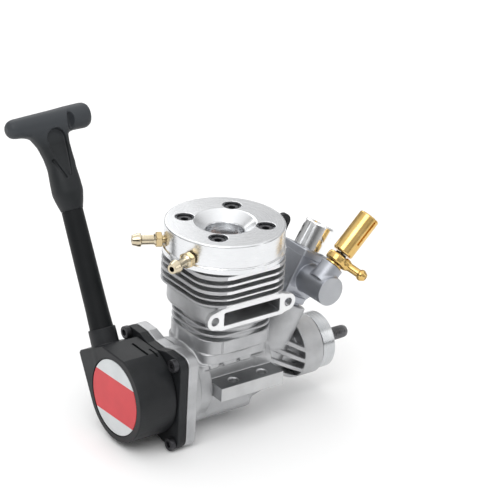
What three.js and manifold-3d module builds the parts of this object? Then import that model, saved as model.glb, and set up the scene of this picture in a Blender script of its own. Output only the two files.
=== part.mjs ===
// A small two-stroke model engine with a water-cooled head, a rotary-barrel carburettor and a cord recoil starter.
// Millimetres, +Z up along the cylinder, +X towards the output shaft, exhaust towards -Y.
// The part's origin is the centre of the four bearer holes, on the underside plane of the mounting lugs.
// Everything is drawn in the engine frame (origin where the cylinder axis meets the crank axis) inside one placed group.
import * as THREE from "three";
import { mergeVertices } from "three/addons/utils/BufferGeometryUtils.js";
import Module from "manifold-3d";

const wasm = await Module();
wasm.setup();

// ---------------------------------------------------------------- driving dimensions
const LUG_Z0 = -2.3, LUG_Z1 = 3.04, LUG_X0 = -12.0, LUG_X1 = 15.9, LUG_Y = 19.3; // mounting lugs
const LUG_HOLES_X = [-4.0, 8.9], LUG_HOLE_Y = 15.2, LUG_HOLE_R = 1.75;
const BORE_R = 8.6, THROW = 6.0, ROD_LEN = 28.2; // cylinder bore, crank throw, rod between centres
const PISTON_R = 8.5, CROWN_Z = 42.4; // crown height with the piston at the top
const GUDGEON_Z = THROW + ROD_LEN; // 34.2
const CYL_TOP = 48.2;
const FIN_HALF = 19.25, FIN_R = 11, GAPS_Z = [45.2, 42.6, 39.6, 37.2], GAP = 1.6;
const HEAD_Z0 = 48.5, HEAD_Z1 = 59.5, HEAD_R = 22.2, HEAD_SCREW = 10.5;
const EX_Z = 31.2, EX_Y = -19.0, EX_BOLT_X = 16.2, EX_PORT_X = 12.3, EX_PORT_Z = 2.5;
const FLANGE_X0 = -26.3, FLANGE_X1 = -22.1, FLANGE_H = 18.4, FLANGE_V = 18.3, FLANGE_R = 4.0, SCREW_Y = 15.3, SCREW_Z = 15.9;
const PLATE_X0 = -29.9, HOUSING_X0 = -45.7, HOUSING_X1 = -30.2, HOUSING_R = 17.2;
const NECK_X = 16.5, NECK_TILT = Math.PI / 6, NECK_R = 9.0, NECK_T = 24.8; // intake neck, leaning towards +X
const BARREL_T = 36.15, BARREL_R = 5.6, BARREL_Y0 = -20.5; // throttle barrel housing, across the neck axis
const NEEDLE_TILT = (45 * Math.PI) / 180, NEEDLE_Y = -15.2, NEEDLE_OFF = [-0.9, 2.4]; // needle axis, set off from the barrel axis along X and Z
const NOSE_X1 = 40.7, NOSE_R = 11.7, HUB_X0 = 40.95, HUB_X1 = 47.1, HUB_R = 10.9, SHAFT_X1 = 60.3, THREAD_R = 2.45;
const CORD_TILT = (29 * Math.PI) / 180, CORD_X = -40.2, CORD_Y = 15.4, CORD_Z = 14.5; // the cord tube leans towards +Y
const TUBE_TOP = 49.0, BAR_S = 82.0;

// ---------------------------------------------------------------- materials
const mat = (color, roughness, metalness) => new THREE.MeshStandardMaterial({ color, roughness, metalness });
const CAST = mat(0xb2b3b6, 0.55, 0.7), BRIGHT = mat(0xe4e5e7, 0.25, 0.9), CARB = mat(0x8b8f98, 0.5, 0.7), BRASS = mat(0xd6b25c, 0.3, 0.9);
const PALE_BRASS = mat(0xd9cfae, 0.3, 0.9), BLACK = mat(0x25282b, 0.6, 0.0), STEEL = mat(0x56565a, 0.4, 0.9), BLACK_STEEL = mat(0x2a2b2e, 0.4, 0.6);
const POLISHED = mat(0xc4c6ca, 0.25, 1.0), COPPER = mat(0xb5714a, 0.4, 0.9), RUBBER = mat(0x17181a, 0.8, 0.0), STICKER = mat(0xe6424e, 0.4, 0.0), CORD = mat(0xe9e7e0, 0.9, 0.0);

// ---------------------------------------------------------------- solids
function solid(geometry, matrix) {
  let g = geometry.index ? geometry.toNonIndexed() : geometry;
  g = new THREE.BufferGeometry().setAttribute("position", g.getAttribute("position"));
  if (matrix) g.applyMatrix4(matrix);
  g = mergeVertices(g, 1e-4);
  const t = new Uint32Array(g.index.array), p = g.attributes.position.array;
  // a profile may be given in either direction: turn the faces outwards
  const at = (i) => new THREE.Vector3(p[3 * i], p[3 * i + 1], p[3 * i + 2]);
  let volume = 0;
  for (let i = 0; i < t.length; i += 3) volume += at(t[i]).dot(at(t[i + 1]).cross(at(t[i + 2])));
  if (volume < 0) for (let i = 0; i < t.length; i += 3) [t[i + 1], t[i + 2]] = [t[i + 2], t[i + 1]];
  return new wasm.Manifold(new wasm.Mesh({ numProp: 3, vertProperties: p, triVerts: t }));
}
const basis = (x, y, z, o = [0, 0, 0]) =>
  new THREE.Matrix4().makeBasis(new THREE.Vector3(...x), new THREE.Vector3(...y), new THREE.Vector3(...z)).setPosition(...o);
const AX = (x = 0, y = 0, z = 0) => basis([0, 1, 0], [0, 0, 1], [1, 0, 0], [x, y, z]); // drawn in (Y, Z), built along +X
const AY = (x = 0, y = 0, z = 0) => basis([1, 0, 0], [0, 0, 1], [0, -1, 0], [x, y, z]); // drawn in (X, Z), built along -Y
const AZ = (x = 0, y = 0, z = 0) => new THREE.Matrix4().setPosition(x, y, z);
const tilt = (a, x, y, z) => new THREE.Matrix4().makeRotationY(a).setPosition(x, y, z);
const NECK = tilt(NECK_TILT, NECK_X, 0, 0);
// A cylinder or cone of radii r0 (bottom) and r1 (top), height h, built along local +Z.
const FINE = 0.68; // share of the nominal number of facets on round faces
const facets = (seg) => Math.max(8, 2 * Math.round((seg * FINE) / 2));
function cyl(r0, h, seg, m, r1 = r0, h0 = 0) {
  const g = new THREE.CylinderGeometry(r1, r0, h, facets(seg));
  g.rotateX(Math.PI / 2).translate(0, 0, h0 + h / 2);
  return solid(g, m);
}
// A turned piece: [radius, height] pairs that close on themselves, or start and end on the axis.
function turned(profile, seg, m) {
  const onAxis = profile[0][0] === 0 && profile[profile.length - 1][0] === 0;
  const pts = profile.map(([r, z]) => new THREE.Vector2(r, z));
  if (!onAxis) pts.push(pts[0].clone());
  const g = new THREE.LatheGeometry(pts, facets(seg));
  g.rotateX(Math.PI / 2);
  let s = solid(g, m);
  return s;
}
const box = (x0, x1, y0, y1, z0, z1, m) => solid(new THREE.BoxGeometry(x1 - x0, y1 - y0, z1 - z0).translate((x0 + x1) / 2, (y0 + y1) / 2, (z0 + z1) / 2), m);
function prism(pts, h, m, h0 = 0) {
  const s = new THREE.Shape(pts.map(([x, y]) => new THREE.Vector2(x, y)));
  return solid(new THREE.ExtrudeGeometry(s, { depth: h, bevelEnabled: false }).translate(0, 0, h0), m);
}
// Outline of a rounded rectangle, n points on each corner.
function roundRect(a, b, r, n = 3) {
  const p = [];
  for (const [sx, sy, a0] of [[1, 1, 0], [-1, 1, 90], [-1, -1, 180], [1, -1, 270]])
    for (let i = 0; i <= n; i++) {
      const t = ((a0 + (90 * i) / n) * Math.PI) / 180;
      p.push([sx * (a - r) + r * Math.cos(t), sy * (b - r) + r * Math.sin(t)]);
    }
  return p;
}
const add = (...s) => s.flat().reduce((a, b) => a.add(b));
const cut = (a, ...s) => s.flat().reduce((x, y) => x.subtract(y), a);
const ngon = (r, n, a0 = 0) => Array.from({ length: n }, (_, i) => [r * Math.cos(a0 + (2 * Math.PI * i) / n), r * Math.sin(a0 + (2 * Math.PI * i) / n)]);
// A body lofted through closed sections, each an array of the same number of [x, y, z] points.
function loft(sections) {
  const n = sections[0].length, v = [], tri = [];
  sections.forEach((s) => s.forEach((p) => v.push(...p)));
  const k = sections.length;
  for (let i = 0; i < k - 1; i++)
    for (let j = 0; j < n; j++) {
      const a = i * n + j, b = i * n + ((j + 1) % n), c = a + n, d = b + n;
      tri.push(a, b, d, a, d, c);
    }
  const c0 = v.length / 3;
  for (const s of [sections[0], sections[k - 1]]) v.push(...[0, 1, 2].map((q) => s.reduce((t, p) => t + p[q], 0) / n));
  for (let j = 0; j < n; j++) tri.push(c0, (j + 1) % n, j, c0 + 1, (k - 1) * n + j, (k - 1) * n + ((j + 1) % n));
  const g = new THREE.BufferGeometry().setAttribute("position", new THREE.Float32BufferAttribute(v, 3));
  g.setIndex(tri);
  return solid(g);
}

const engine = new THREE.Group();
engine.position.set(-(LUG_HOLES_X[0] + LUG_HOLES_X[1]) / 2, 0, -LUG_Z0);
function node(name, s, material, parent = engine) {
  const m = s.simplify(0.012).getMesh(); // drops the slivers that cuts leave
  const g = new THREE.BufferGeometry().setAttribute("position", new THREE.Float32BufferAttribute(m.vertProperties, 3));
  g.setIndex(Array.from(m.triVerts));
  const mesh = new THREE.Mesh(g, material);
  mesh.name = name;
  parent.add(mesh);
  return mesh;
}

// ---------------------------------------------------------------- crankcase with its finned cylinder, one casting
const flangeOutline = (() => {
  const H = FLANGE_H, W = FLANGE_V, R = FLANGE_R, d = 1.6, p = [];
  for (const [sy, sz, a0] of [[1, 1, 0], [-1, 1, 90], [-1, -1, 180], [1, -1, 270]])
    for (let i = 0; i <= 4; i++) {
      const t = ((a0 + 22.5 * i) * Math.PI) / 180;
      p.push([sy * (H - R) + R * Math.cos(t), sz * (W - R) + R * Math.sin(t)]);
      if (i === 4 && (a0 === 0 || a0 === 180)) p.push([sy * 8.5, sz * W], [sy * 3.0, sz * (W - d)], [-sy * 3.0, sz * (W - d)], [-sy * 8.5, sz * W]);
    }
  return p;
})();
const screwYZ = [[1, 1], [-1, 1], [-1, -1], [1, -1]].map(([a, b]) => [a * SCREW_Y, b * SCREW_Z]);

let body = prism(flangeOutline, FLANGE_X1 - FLANGE_X0, AX(FLANGE_X0));
body = add(body, cyl(16.4, 4.1, 40, AX(FLANGE_X1 - 0.2)), cyl(14.6, 6.4, 40, AX(-18.8)));
// lower case: flat sides, a rounded sump
const sump = [[10.9, 9.0], [-10.9, 9.0]];
for (let i = 0; i <= 4; i++) sump.push([-7.1 - 3.8 * Math.cos((i * Math.PI) / 8), -10.6 - 3.8 * Math.sin((i * Math.PI) / 8)]);
for (let i = 0; i <= 4; i++) sump.push([7.1 + 3.8 * Math.sin((i * Math.PI) / 8), -10.6 - 3.8 * Math.cos((i * Math.PI) / 8)]);
body = add(body, prism(sump, 27.2, AX(-18.8)));
body = add(body, cyl(14.2, 8.5, 36, AX(8.0), 12.4).intersect(box(7, 18, -11.2, 11.2, -20, 20)));
// shoulder ledges above the lugs and the cylinder foot
body = add(body, prism(roundRect(15.2, 12.9, 3), 2.0, AZ(-1.6, 0, 8.3)), prism(roundRect(14.6, 13.6, 5), 4.6, AZ(-1.0, 0, 9.8)));
body = add(body, cyl(13.6, 34, 40, AZ(0, 0, 13.8)));
body = add(body, prism(roundRect(15.6, 9.0, 6), 20.5, AZ(-0.5, 0, 6.5)), cyl(14.9, 13.0, 40, AZ(0, 0, 13.8)));
// a square-shouldered barrel with three grooves that fade out on its flat sides
for (const [a, b] of [[14.3, 19.7], [21.2, 22.3], [23.8, 24.9]]) body = add(body, prism(roundRect(15.6, 15.2, 9), b - a, AZ(0, 0, a)));
// belt round the ports, head-screw columns and fins
body = add(body, prism(roundRect(17.4, 17.0, 10), 9.4, AZ(0, 0, 26.4)));
body = add(body, prism(roundRect(15.4, 15.4, 8.5), 14, AZ(0, 0, 34.2)));
const finZ = [...GAPS_Z].reverse();
let z0 = finZ[0] - GAP / 2 - 0.9;
for (const gz of finZ) {
  body = add(body, prism(roundRect(FIN_HALF, FIN_HALF, FIN_R), gz - GAP / 2 - z0, AZ(0, 0, z0)));
  z0 = gz + GAP / 2;
}
body = add(body, prism(roundRect(FIN_HALF, FIN_HALF, FIN_R), CYL_TOP - 0.5 - z0, AZ(0, 0, z0)), prism(roundRect(17.2, 17.2, 9), 0.7, AZ(0, 0, CYL_TOP - 0.7)));
// exhaust stack and flange
const exOutline = [];
for (let i = 0; i <= 6; i++) { const t = -Math.PI / 2 + (i * Math.PI) / 6; exOutline.push([EX_BOLT_X + 3.3 * Math.cos(t), 3.4 * Math.sin(t)]); }
exOutline.push([13.5, 4.15], [-13.5, 4.15]);
for (let i = 0; i <= 6; i++) { const t = Math.PI / 2 + (i * Math.PI) / 6; exOutline.push([-EX_BOLT_X + 3.3 * Math.cos(t), 3.4 * Math.sin(t)]); }
exOutline.push([-13.5, -4.15], [13.5, -4.15]);
body = add(body, prism(exOutline, 2.0, AY(0, EX_Y + 2.0, EX_Z)), prism(roundRect(14.0, 3.95, 1), 9, AY(0, EX_Y + 10, EX_Z)));
// lugs
for (const s of [1, -1]) body = add(body, box(LUG_X0, LUG_X1, s > 0 ? 8.5 : -LUG_Y, s > 0 ? LUG_Y : -8.5, LUG_Z0, LUG_Z1));
// intake neck, nose tube, front ring and the slanting nose fins between them
body = add(body, cyl(NECK_R + 0.6, NECK_T - 3, 32, NECK, NECK_R, 3), box(-4.9, 4.9, 6.5, 10.4, 19.6, NECK_T, NECK));
body = add(body, cyl(7.2, 26, 32, AX(14)), cyl(NOSE_R, NOSE_X1 - 32.1, 44, AX(32.1)));
for (const c of [3.5, -0.9, -5.5, -9.7]) {
  // each fin lies square to the neck axis and reaches the circle that joins crankcase and ring
  const slab = box(-30, 30, -13, 13, -0.75, 0.75, tilt(NECK_TILT, 32.1, 0, c));
  body = add(body, slab.intersect(cyl(11.5, 18, 36, AX(14.5))));
}
// ---- openings
body = cut(body, cyl(9.8, 26.4, 36, AX(-13.6)), cyl(12.6, -13.4 - FLANGE_X0 + 0.1, 36, AX(FLANGE_X0 - 0.1)));
body = cut(body, prism(roundRect(9.8, 12.2, 4.4).map(([y, z]) => [y, z + 1.0]), 5.9, AX(-3.1)));
body = cut(body, cyl(9.6, 5.4, 36, AX(12.4)), cyl(5.4, 30, 24, AX(16)), cyl(6.6, 5.0, 28, AX(NOSE_X1 - 4.9)));
body = cut(body, cyl(10.4, CYL_TOP, 40, AZ(0, 0, 11.6)), cyl(11.9, 3, 40, AZ(0, 0, 46.4)));
for (const s of [1, -1]) body = cut(body, box(s * 11.2 - 1.6, s * 11.2 + 1.6, -4.5, 4.5, 11.4, 31.0));
body = cut(body, box(-EX_PORT_X, EX_PORT_X, EX_Y - 1, -7, EX_Z - EX_PORT_Z, EX_Z + EX_PORT_Z));
body = cut(body, [1, -1].map((s) => cyl(1.6, 6, 16, AY(s * EX_BOLT_X, EX_Y + 5.5, EX_Z))));
for (const x of LUG_HOLES_X) for (const s of [1, -1]) body = cut(body, cyl(LUG_HOLE_R, 8, 16, AZ(x, s * LUG_HOLE_Y, -3.5)));
for (const [y, z] of screwYZ) body = cut(body, cyl(1.35, 6, 12, AX(FLANGE_X0 - 0.5, y, z)));
for (const [a, b] of [[1, 1], [-1, 1], [-1, -1], [1, -1]]) body = cut(body, cyl(1.55, 12, 12, AZ(a * HEAD_SCREW, b * HEAD_SCREW, 37.2)));
body = cut(body, cyl(6.4, 14, 28, NECK, 6.4, 12.2), cyl(4.4, 8.5, 20, NECK, 4.4, 4.6));
// the clamp: a slot through the boss on the +Y side, and its cross screw
const clampX = (x) => new THREE.Matrix4().multiplyMatrices(NECK, AX(x, 8.4, 22.3));
body = cut(body, box(-0.5, 0.5, 5.5, 12, 17.5, 25.5, NECK), cyl(1.3, 20, 12, clampX(-10)), cyl(2.2, 6, 16, clampX(-10.9)));
node("crankcase", body, CAST);

// ---------------------------------------------------------------- cylinder, head and cooling
let liner = turned([[BORE_R, 12.6], [10.1, 12.6], [10.1, 46.8], [11.6, 46.8], [11.6, 48.15], [BORE_R, 48.15]], 40);
liner = cut(liner, box(-6.2, 6.2, -12, -5, 28.9, 33.6), box(5, 12, -3.8, 3.8, 28.9, 31.4), box(-12, -5, -3.8, 3.8, 28.9, 31.4));
node("cylinder_liner", liner, POLISHED);
node("head_gasket", turned([[8.75, 48.22], [12.6, 48.22], [12.6, 48.45], [8.75, 48.45]], 40), COPPER);
node("head_button", turned([[3.3, 43.2], [5.0, 43.2], [7.0, 43.0], [8.4, 43.0], [8.4, 48.5], [12.1, 48.5], [12.1, 50.5], [5.2, 50.5], [5.2, 49.2], [3.3, 49.2]], 36), BRIGHT);
let head = turned([[6.9, 50.7], [12.4, 50.7], [12.4, HEAD_Z0], [22.5, HEAD_Z0], [22.5, 50.6], [22.05, 51.2], [22.05, 58.9], [21.5, HEAD_Z1], [11.2, HEAD_Z1], [7.1, 56.1], [6.9, 55.7]], 64);
for (const [a, b] of [[1, 1], [-1, 1], [-1, -1], [1, -1]]) head = cut(head, cyl(1.55, 14, 12, AZ(a * HEAD_SCREW, b * HEAD_SCREW, 47)), cyl(3.45, 4, 20, AZ(a * HEAD_SCREW, b * HEAD_SCREW, 56.3)));
head = cut(head, turned([[17.0, 48], [18.8, 48], [18.8, 55.5], [17.0, 55.5]], 48));
const NIPPLES = [153.5, 201.5].map((d) => (d * Math.PI) / 180);
for (const a of NIPPLES) head = cut(head, cyl(1.75, 6, 12, new THREE.Matrix4().makeRotationZ(a).multiply(AX(18.2, 0, 52.8))));
node("cooling_head", head, BRIGHT);
[[1, 1], [-1, 1], [-1, -1], [1, -1]].forEach(([a, b], i) =>
  node(`head_screw_${i + 1}`, cut(turned([[0, 38.2], [1.3, 38.2], [1.3, 56.4], [2.75, 56.4], [2.75, 58.6], [0, 58.6]], 16, AZ(a * HEAD_SCREW, b * HEAD_SCREW, 0)), prism(ngon(1.35, 6), 2, AZ(a * HEAD_SCREW, b * HEAD_SCREW, 57.2))), BLACK_STEEL));
node("glow_plug_washer", turned([[3.4, 49.3], [4.9, 49.3], [4.9, 49.7], [3.4, 49.7]], 24), COPPER);
node("glow_plug", add(turned([[0, 43.9], [1.6, 43.9], [3.05, 44.2], [3.05, 49.75], [0, 49.75]], 20), prism(ngon(4.5, 6), 2.0, AZ(0, 0, 49.74)), turned([[0, 51.6], [2.0, 51.6], [1.6, 52.2], [1.0, 52.4], [1.0, 53.0], [0, 53.0]], 16)), STEEL);
NIPPLES.forEach((a, i) => {
  const m = node(`water_nipple_${i + 1}`, cut(add(turned([[0, 18.9], [1.5, 18.9], [1.5, 22.9], [0, 22.9]], 12), prism(ngon(3.1, 6), 2.2, AZ(0, 0, 22.8)), turned([[0, 24.95], [2.4, 24.95], [1.75, 25.6], [1.75, 30.4], [2.5, 30.7], [2.5, 31.6], [1.9, 33.7], [0, 33.7]], 14)), cyl(0.9, 17.5, 10, AZ(0, 0, 18.0))), PALE_BRASS);
  m.position.z = 52.8;
  m.rotation.set(0, Math.PI / 2, a, "ZYX");
});

// ---------------------------------------------------------------- crank train
node("rear_bearing_outer", turned([[7.9, 12.5], [9.4, 12.5], [9.4, 17.3], [7.9, 17.3]], 36, AX()), POLISHED);
node("rear_bearing_cage", turned([[6.75, 13.6], [7.75, 13.6], [7.75, 16.2], [6.75, 16.2]], 28, AX()), BRASS);
node("rear_bearing_inner", turned([[5.15, 12.5], [6.6, 12.5], [6.6, 17.3], [5.15, 17.3]], 32, AX()), POLISHED);
node("front_bearing_outer", turned([[5.4, 36.0], [6.5, 36.0], [6.5, 40.5], [5.4, 40.5]], 32, AX()), POLISHED);
node("front_bearing_inner", turned([[3.6, 36.0], [4.6, 36.0], [4.6, 40.5], [3.6, 40.5]], 28, AX()), POLISHED);
let crank = add(cyl(9.4, 6.4, 36, AX(4.4)), cyl(2.0, 1.6, 20, AX(2.85, 0, THROW)));
crank = cut(crank, prism([[3.6, 0.5], [12, 0.5], [12, 12], [3.6, 12]], 9, AX(2.4)), prism([[-3.6, 0.5], [-3.6, 12], [-12, 12], [-12, 0.5]], 9, AX(2.4)));
crank = add(crank, turned([[0, 10.6], [6.2, 10.6], [6.2, 12.3], [5.0, 12.3], [5.0, 35.6], [3.45, 35.8], [3.45, 43.9], [THREAD_R, 44.3], [THREAD_R, SHAFT_X1 - 1.4], [1.9, SHAFT_X1 - 0.4], [1.0, SHAFT_X1], [0, SHAFT_X1]], 24, AX()));
crank = cut(crank, cyl(3.2, 14.5, 16, AX(10.4)), box(16.5, 23.5, -2.6, 2.6, 3.0, 6));
crank = cut(crank, cyl(3.2, 8, 16, AX(4.0)));
node("crankshaft", crank, STEEL);
node("hub_collet", turned([[3.5, 41.2], [3.9, 41.2], [4.9, 46.2], [3.5, 46.2]], 24, AX()), BRASS);
node("drive_hub", turned([[4.35, 41.0], [9.9, HUB_X0], [HUB_R, 41.4], [HUB_R, 46.6], [10.4, HUB_X1], [5.35, HUB_X1], [5.25, 46.4]], 48, AX()), BRIGHT);
node("backplate", cut(turned([[3.4, -26.0], [12.4, -26.0], [12.4, -13.6], [9.0, -13.6], [9.0, -15.4], [3.4, -15.4]], 36, AX())), CAST);
node("starter_shaft", add(prism(ngon(2.9, 6), 29.4, AX(-38.2)), cyl(3.1, 15.5, 20, AX(-28.4)), cut(cyl(8.6, 3.4, 32, AX(-9.6)), prism([[-2.6, 4.2], [2.6, 4.2], [2.6, 10], [-2.6, 10]], 5, AX(-7.9)))), STEEL);
let piston = turned([[7.2, CROWN_Z - 15], [PISTON_R, CROWN_Z - 15], [PISTON_R, CROWN_Z - 0.4], [8.1, CROWN_Z], [0, CROWN_Z], [0, CROWN_Z - 1.6], [7.2, CROWN_Z - 2.2]], 36);
piston = add(piston, [1, -1].map((s) => cyl(3.3, 4.6, 20, AX(s > 0 ? 3.1 : -7.7, 0, GUDGEON_Z))));
piston = cut(piston, cyl(2.1, 20, 20, AX(-10, 0, GUDGEON_Z)), cyl(PISTON_R + 4, 30, 36, AZ(0, 0, CROWN_Z - 15)).subtract(cyl(PISTON_R, 40, 36, AZ(0, 0, CROWN_Z - 20))));
node("piston", piston, BRIGHT);
node("gudgeon_pin", turned([[1.0, -6.7], [2.0, -6.7], [2.0, 6.7], [1.0, 6.7]], 20, AX(0, 0, GUDGEON_Z)), POLISHED);
[1, -1].forEach((s, i) => node(`pin_clip_${i + 1}`, turned([[1.3, s * 6.9], [1.95, s * 6.9], [1.95, s * 7.3], [1.3, s * 7.3]], 16, AX(0, 0, GUDGEON_Z)), STEEL));
let rod = add(cyl(3.2, 4.6, 24, AX(-2.3, 0, GUDGEON_Z)), cyl(3.6, 4.6, 28, AX(-2.3, 0, THROW)), prism([[-2.0, THROW + 1], [2.0, THROW + 1], [1.7, GUDGEON_Z - 1], [-1.7, GUDGEON_Z - 1]], 3.0, AX(-1.5)));
rod = cut(rod, cyl(2.1, 6, 20, AX(-3, 0, GUDGEON_Z)), cyl(2.7, 6, 20, AX(-3, 0, THROW)));
node("connecting_rod", rod, CAST);
node("big_end_bush", turned([[2.1, -2.3], [2.65, -2.3], [2.65, 2.3], [2.1, 2.3]], 20, AX(0, 0, THROW)), BRASS);

// ---------------------------------------------------------------- carburettor, in the frame of the leaning neck
const carb = new THREE.Group();
carb.position.set(NECK_X, 0, 0);
carb.rotation.y = NECK_TILT;
engine.add(carb);
const turn = (pts, a) => pts.map(([x, y]) => [x * Math.cos(a) - y * Math.sin(a), x * Math.sin(a) + y * Math.cos(a)]);
const CARB_TURN = (-3 * Math.PI) / 180; // the square block stands almost in line with the barrel
const taper = (a0, b0, z0c, a1, b1, z1c, r) => loft([[a0, b0, z0c], [a1, b1, z1c]].map(([a, b, z]) => turn(roundRect(a, b, r, 2), CARB_TURN).map(([x, y]) => [x, y, z])));
let cb = add(cyl(6.1, 13, 28, AZ(0, 0, 13.0)), cyl(7.6, 2.6, 28, AZ(0, 0, 25.7)), taper(5.4, 5.4, 27.4, 7.0, 6.8, 31.0, 1.0), taper(7.0, 6.8, 30.9, 7.0, 6.8, 43.2, 1.0), taper(7.4, 7.2, 42.8, 7.3, 7.1, 45.6, 0.6));
cb = add(cb, cyl(BARREL_R, 30.0, 32, AY(0, 9.5, BARREL_T)));
const [nx, nz] = NEEDLE_OFF, nc = Math.cos(NECK_TILT), ns = Math.sin(NECK_TILT);
const NEEDLE_BOSS = tilt(NEEDLE_TILT - NECK_TILT, nx * nc - nz * ns, NEEDLE_Y, BARREL_T + nx * ns + nz * nc);
cb = add(cb, cyl(4.4, 7.4, 24, NEEDLE_BOSS));
cb = cut(cb, cyl(4.0, 40, 24, AZ(0, 0, 12)), cyl(5.3, 5, 24, AZ(0, 0, 42.5)), cyl(4.5, 27.5, 28, AY(0, 10, BARREL_T)), cyl(1.6, 10, 14, NEEDLE_BOSS));
cb = cut(cb, cyl(1.1, 12, 12, basis([0, 1, 0], [0, 0, 1], [1, 0, 0], [4.6, 4.2, 33.2])));
node("carburettor_body", cb, CARB, carb);
node("intake_throat", turned([[4.1, 42.8], [5.2, 42.8], [5.2, 45.9], [6.1, 45.9], [6.1, 55.4], [5.6, 55.9], [4.9, 55.9], [4.1, 52.0]], 40), BRIGHT, carb);
const barrel = cut(add(cyl(4.35, 27.0, 28, AY(0, 9.8, BARREL_T)), cyl(2.4, 3.4, 20, AY(0, 13.0, BARREL_T))), cyl(3.6, 12, 20, AZ(0, 0, 30)), cyl(0.8, 5, 10, AY(0, 13.6, BARREL_T)));
node("throttle_barrel", barrel, BRASS, carb);
// the arm points up to a round end; it stands on the barrel's free end
const ARM = [2.95, 14.55]; // from the barrel axis to the arm's round end, along the engine's X and Z
const armOutline = (() => {
  const L = Math.hypot(...ARM), p = [];
  for (let i = 0; i <= 8; i++) { const t = Math.PI + (i * Math.PI) / 8; p.push([3.8 * Math.cos(t), 3.8 * Math.sin(t)]); }
  for (let i = 0; i <= 8; i++) { const t = (i * Math.PI) / 8; p.push([2.9 * Math.cos(t), L + 2.9 * Math.sin(t)]); }
  return p.map(([x, y]) => { const a = Math.atan2(ARM[0], ARM[1]); return [x * Math.cos(a) + y * Math.sin(a), -x * Math.sin(a) + y * Math.cos(a)]; });
})();
const armX = NECK_X + BARREL_T * Math.sin(NECK_TILT), armZ = BARREL_T * Math.cos(NECK_TILT);
node("throttle_arm", cut(prism(armOutline, 2.2, AY(armX, 15.3, armZ)), cyl(1.0, 4, 12, AY(armX, 16, armZ)), cyl(0.8, 4, 10, AY(armX + ARM[0], 16, armZ + ARM[1]))), BLACK);
node("throttle_arm_screw", add(turned([[0, 9.6], [0.7, 9.6], [0.7, 15.4], [0, 15.4]], 10, basis([1, 0, 0], [0, 0, -1], [0, 1, 0], [0, 0, BARREL_T])), turned([[0, 15.35], [1.9, 15.35], [1.9, 16.6], [1.2, 17.0], [0, 17.0]], 16, basis([1, 0, 0], [0, 0, -1], [0, 1, 0], [0, 0, BARREL_T]))), STEEL, carb);
node("neck_sealing_ring", turned([[4.6, 11.9 + 0.5], [6.0, 12.4], [6.0, 12.9], [4.6, 12.9]], 28), RUBBER, carb);
node("neck_clamp_screw", add(cyl(1.0, 9.8, 12, AX(-5.0, 8.4, 22.3)), cyl(1.9, 1.8, 14, AX(-6.8, 8.4, 22.3))), BLACK_STEEL, carb);
node("idle_stop_screw", add(cyl(0.9, 9.0, 12, AX(5.0, 4.2, 33.2)), cyl(1.8, 1.6, 14, AX(13.9, 4.2, 33.2))), BRASS, carb);

// ---------------------------------------------------------------- main needle, leaning further over
const needle = new THREE.Group();
needle.position.set(armX + NEEDLE_OFF[0], NEEDLE_Y, armZ + NEEDLE_OFF[1]);
needle.rotation.y = NEEDLE_TILT;
engine.add(needle);
node("needle_seat", turned([[0.7, 4.9], [1.45, 4.9], [1.45, 7.6], [3.3, 7.6], [3.3, 8.3], [1.7, 8.5], [1.7, 12.3], [0.7, 12.3]], 20), BRASS, needle);
const NIP = new THREE.Vector3(0.394, -0.85, -0.355).applyAxisAngle(new THREE.Vector3(0, 1, 0), -NEEDLE_TILT).normalize();
const nipM = new THREE.Matrix4().makeRotationFromQuaternion(new THREE.Quaternion().setFromUnitVectors(new THREE.Vector3(0, 0, 1), NIP)).setPosition(0, 0, 10.3);
let banjo = add(turned([[2.0, 8.6], [3.9, 8.6], [4.3, 9.2], [4.3, 11.4], [3.9, 12.0], [2.0, 12.0]], 28), turned([[0, 3.2], [2.0, 3.2], [1.6, 5.2], [1.6, 10.2], [2.1, 10.6], [2.1, 11.6], [1.3, 12.8], [0, 12.8]], 16, nipM));
banjo = cut(banjo, cyl(0.7, 14, 10, nipM), cyl(2.0, 6, 24, AZ(0, 0, 7)));
node("fuel_banjo", banjo, BRASS, needle);
node("needle_seal", turned([[1.0, 12.4], [2.2, 12.4], [2.2, 12.8], [1.0, 12.8]], 20), RUBBER, needle);
let ndl = turned([[0, 5.0], [0.3, 6.6], [0.55, 9.0], [0.6, 13.1], [3.6, 13.1], [4.1, 13.6], [4.1, 29.7], [3.75, 30.2], [2.4, 30.2], [2.4, 29.1], [0, 29.1]], 32);
ndl = cut(ndl, box(-0.45, 0.45, -4.6, -3.0, 18.5, 31));
ndl = cut(ndl, box(-0.5, 0.5, -4.6, 4.6, 29.4, 31));
node("main_needle", ndl, BRASS, needle);

// ---------------------------------------------------------------- recoil starter
const shell = (off) => {
  // the cover's outline: a circle, a level top, a face square to the cord tube, and a straight side down to the circle
  const R = HOUSING_R - off, cy0 = -0.2, cz0 = 0.3, top = 16.8 - off, slant = 19.0 - off, sn = Math.sin(CORD_TILT), cn = Math.cos(CORD_TILT);
  const corner = [24.0 - off * 1.25, 7.6 - off * 0.35], shoulder = 23.3 - off * 1.25, p = [];
  const pc = [corner[0] - cy0, corner[1] - cz0], d = Math.hypot(...pc), base = Math.atan2(pc[1], pc[0]), half = Math.acos(R / d);
  const a0 = Math.PI - Math.asin((top - cz0) / R), a1 = base - half + 2 * Math.PI;
  for (let i = 0; i <= 26; i++) { const t = a0 + ((a1 - a0) * i) / 26; p.push([cy0 + R * Math.cos(t), cz0 + R * Math.sin(t)]); }
  p.push(corner, [shoulder, (slant - shoulder * sn) / cn], [(slant - top * cn) / sn, top]);
  return p;
};
const cordDir = [0, Math.sin(CORD_TILT), Math.cos(CORD_TILT)];
const CORDM = basis([1, 0, 0], [0, cordDir[2], -cordDir[1]], cordDir, [CORD_X, CORD_Y, CORD_Z]);
node("starter_base_plate", cut(prism(flangeOutline, 3.3, AX(PLATE_X0)), cyl(5.2, 5, 24, AX(PLATE_X0 - 1)), screwYZ.map(([y, z]) => cyl(1.6, 5, 12, AX(PLATE_X0 - 1, y, z)))), BLACK);
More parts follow.
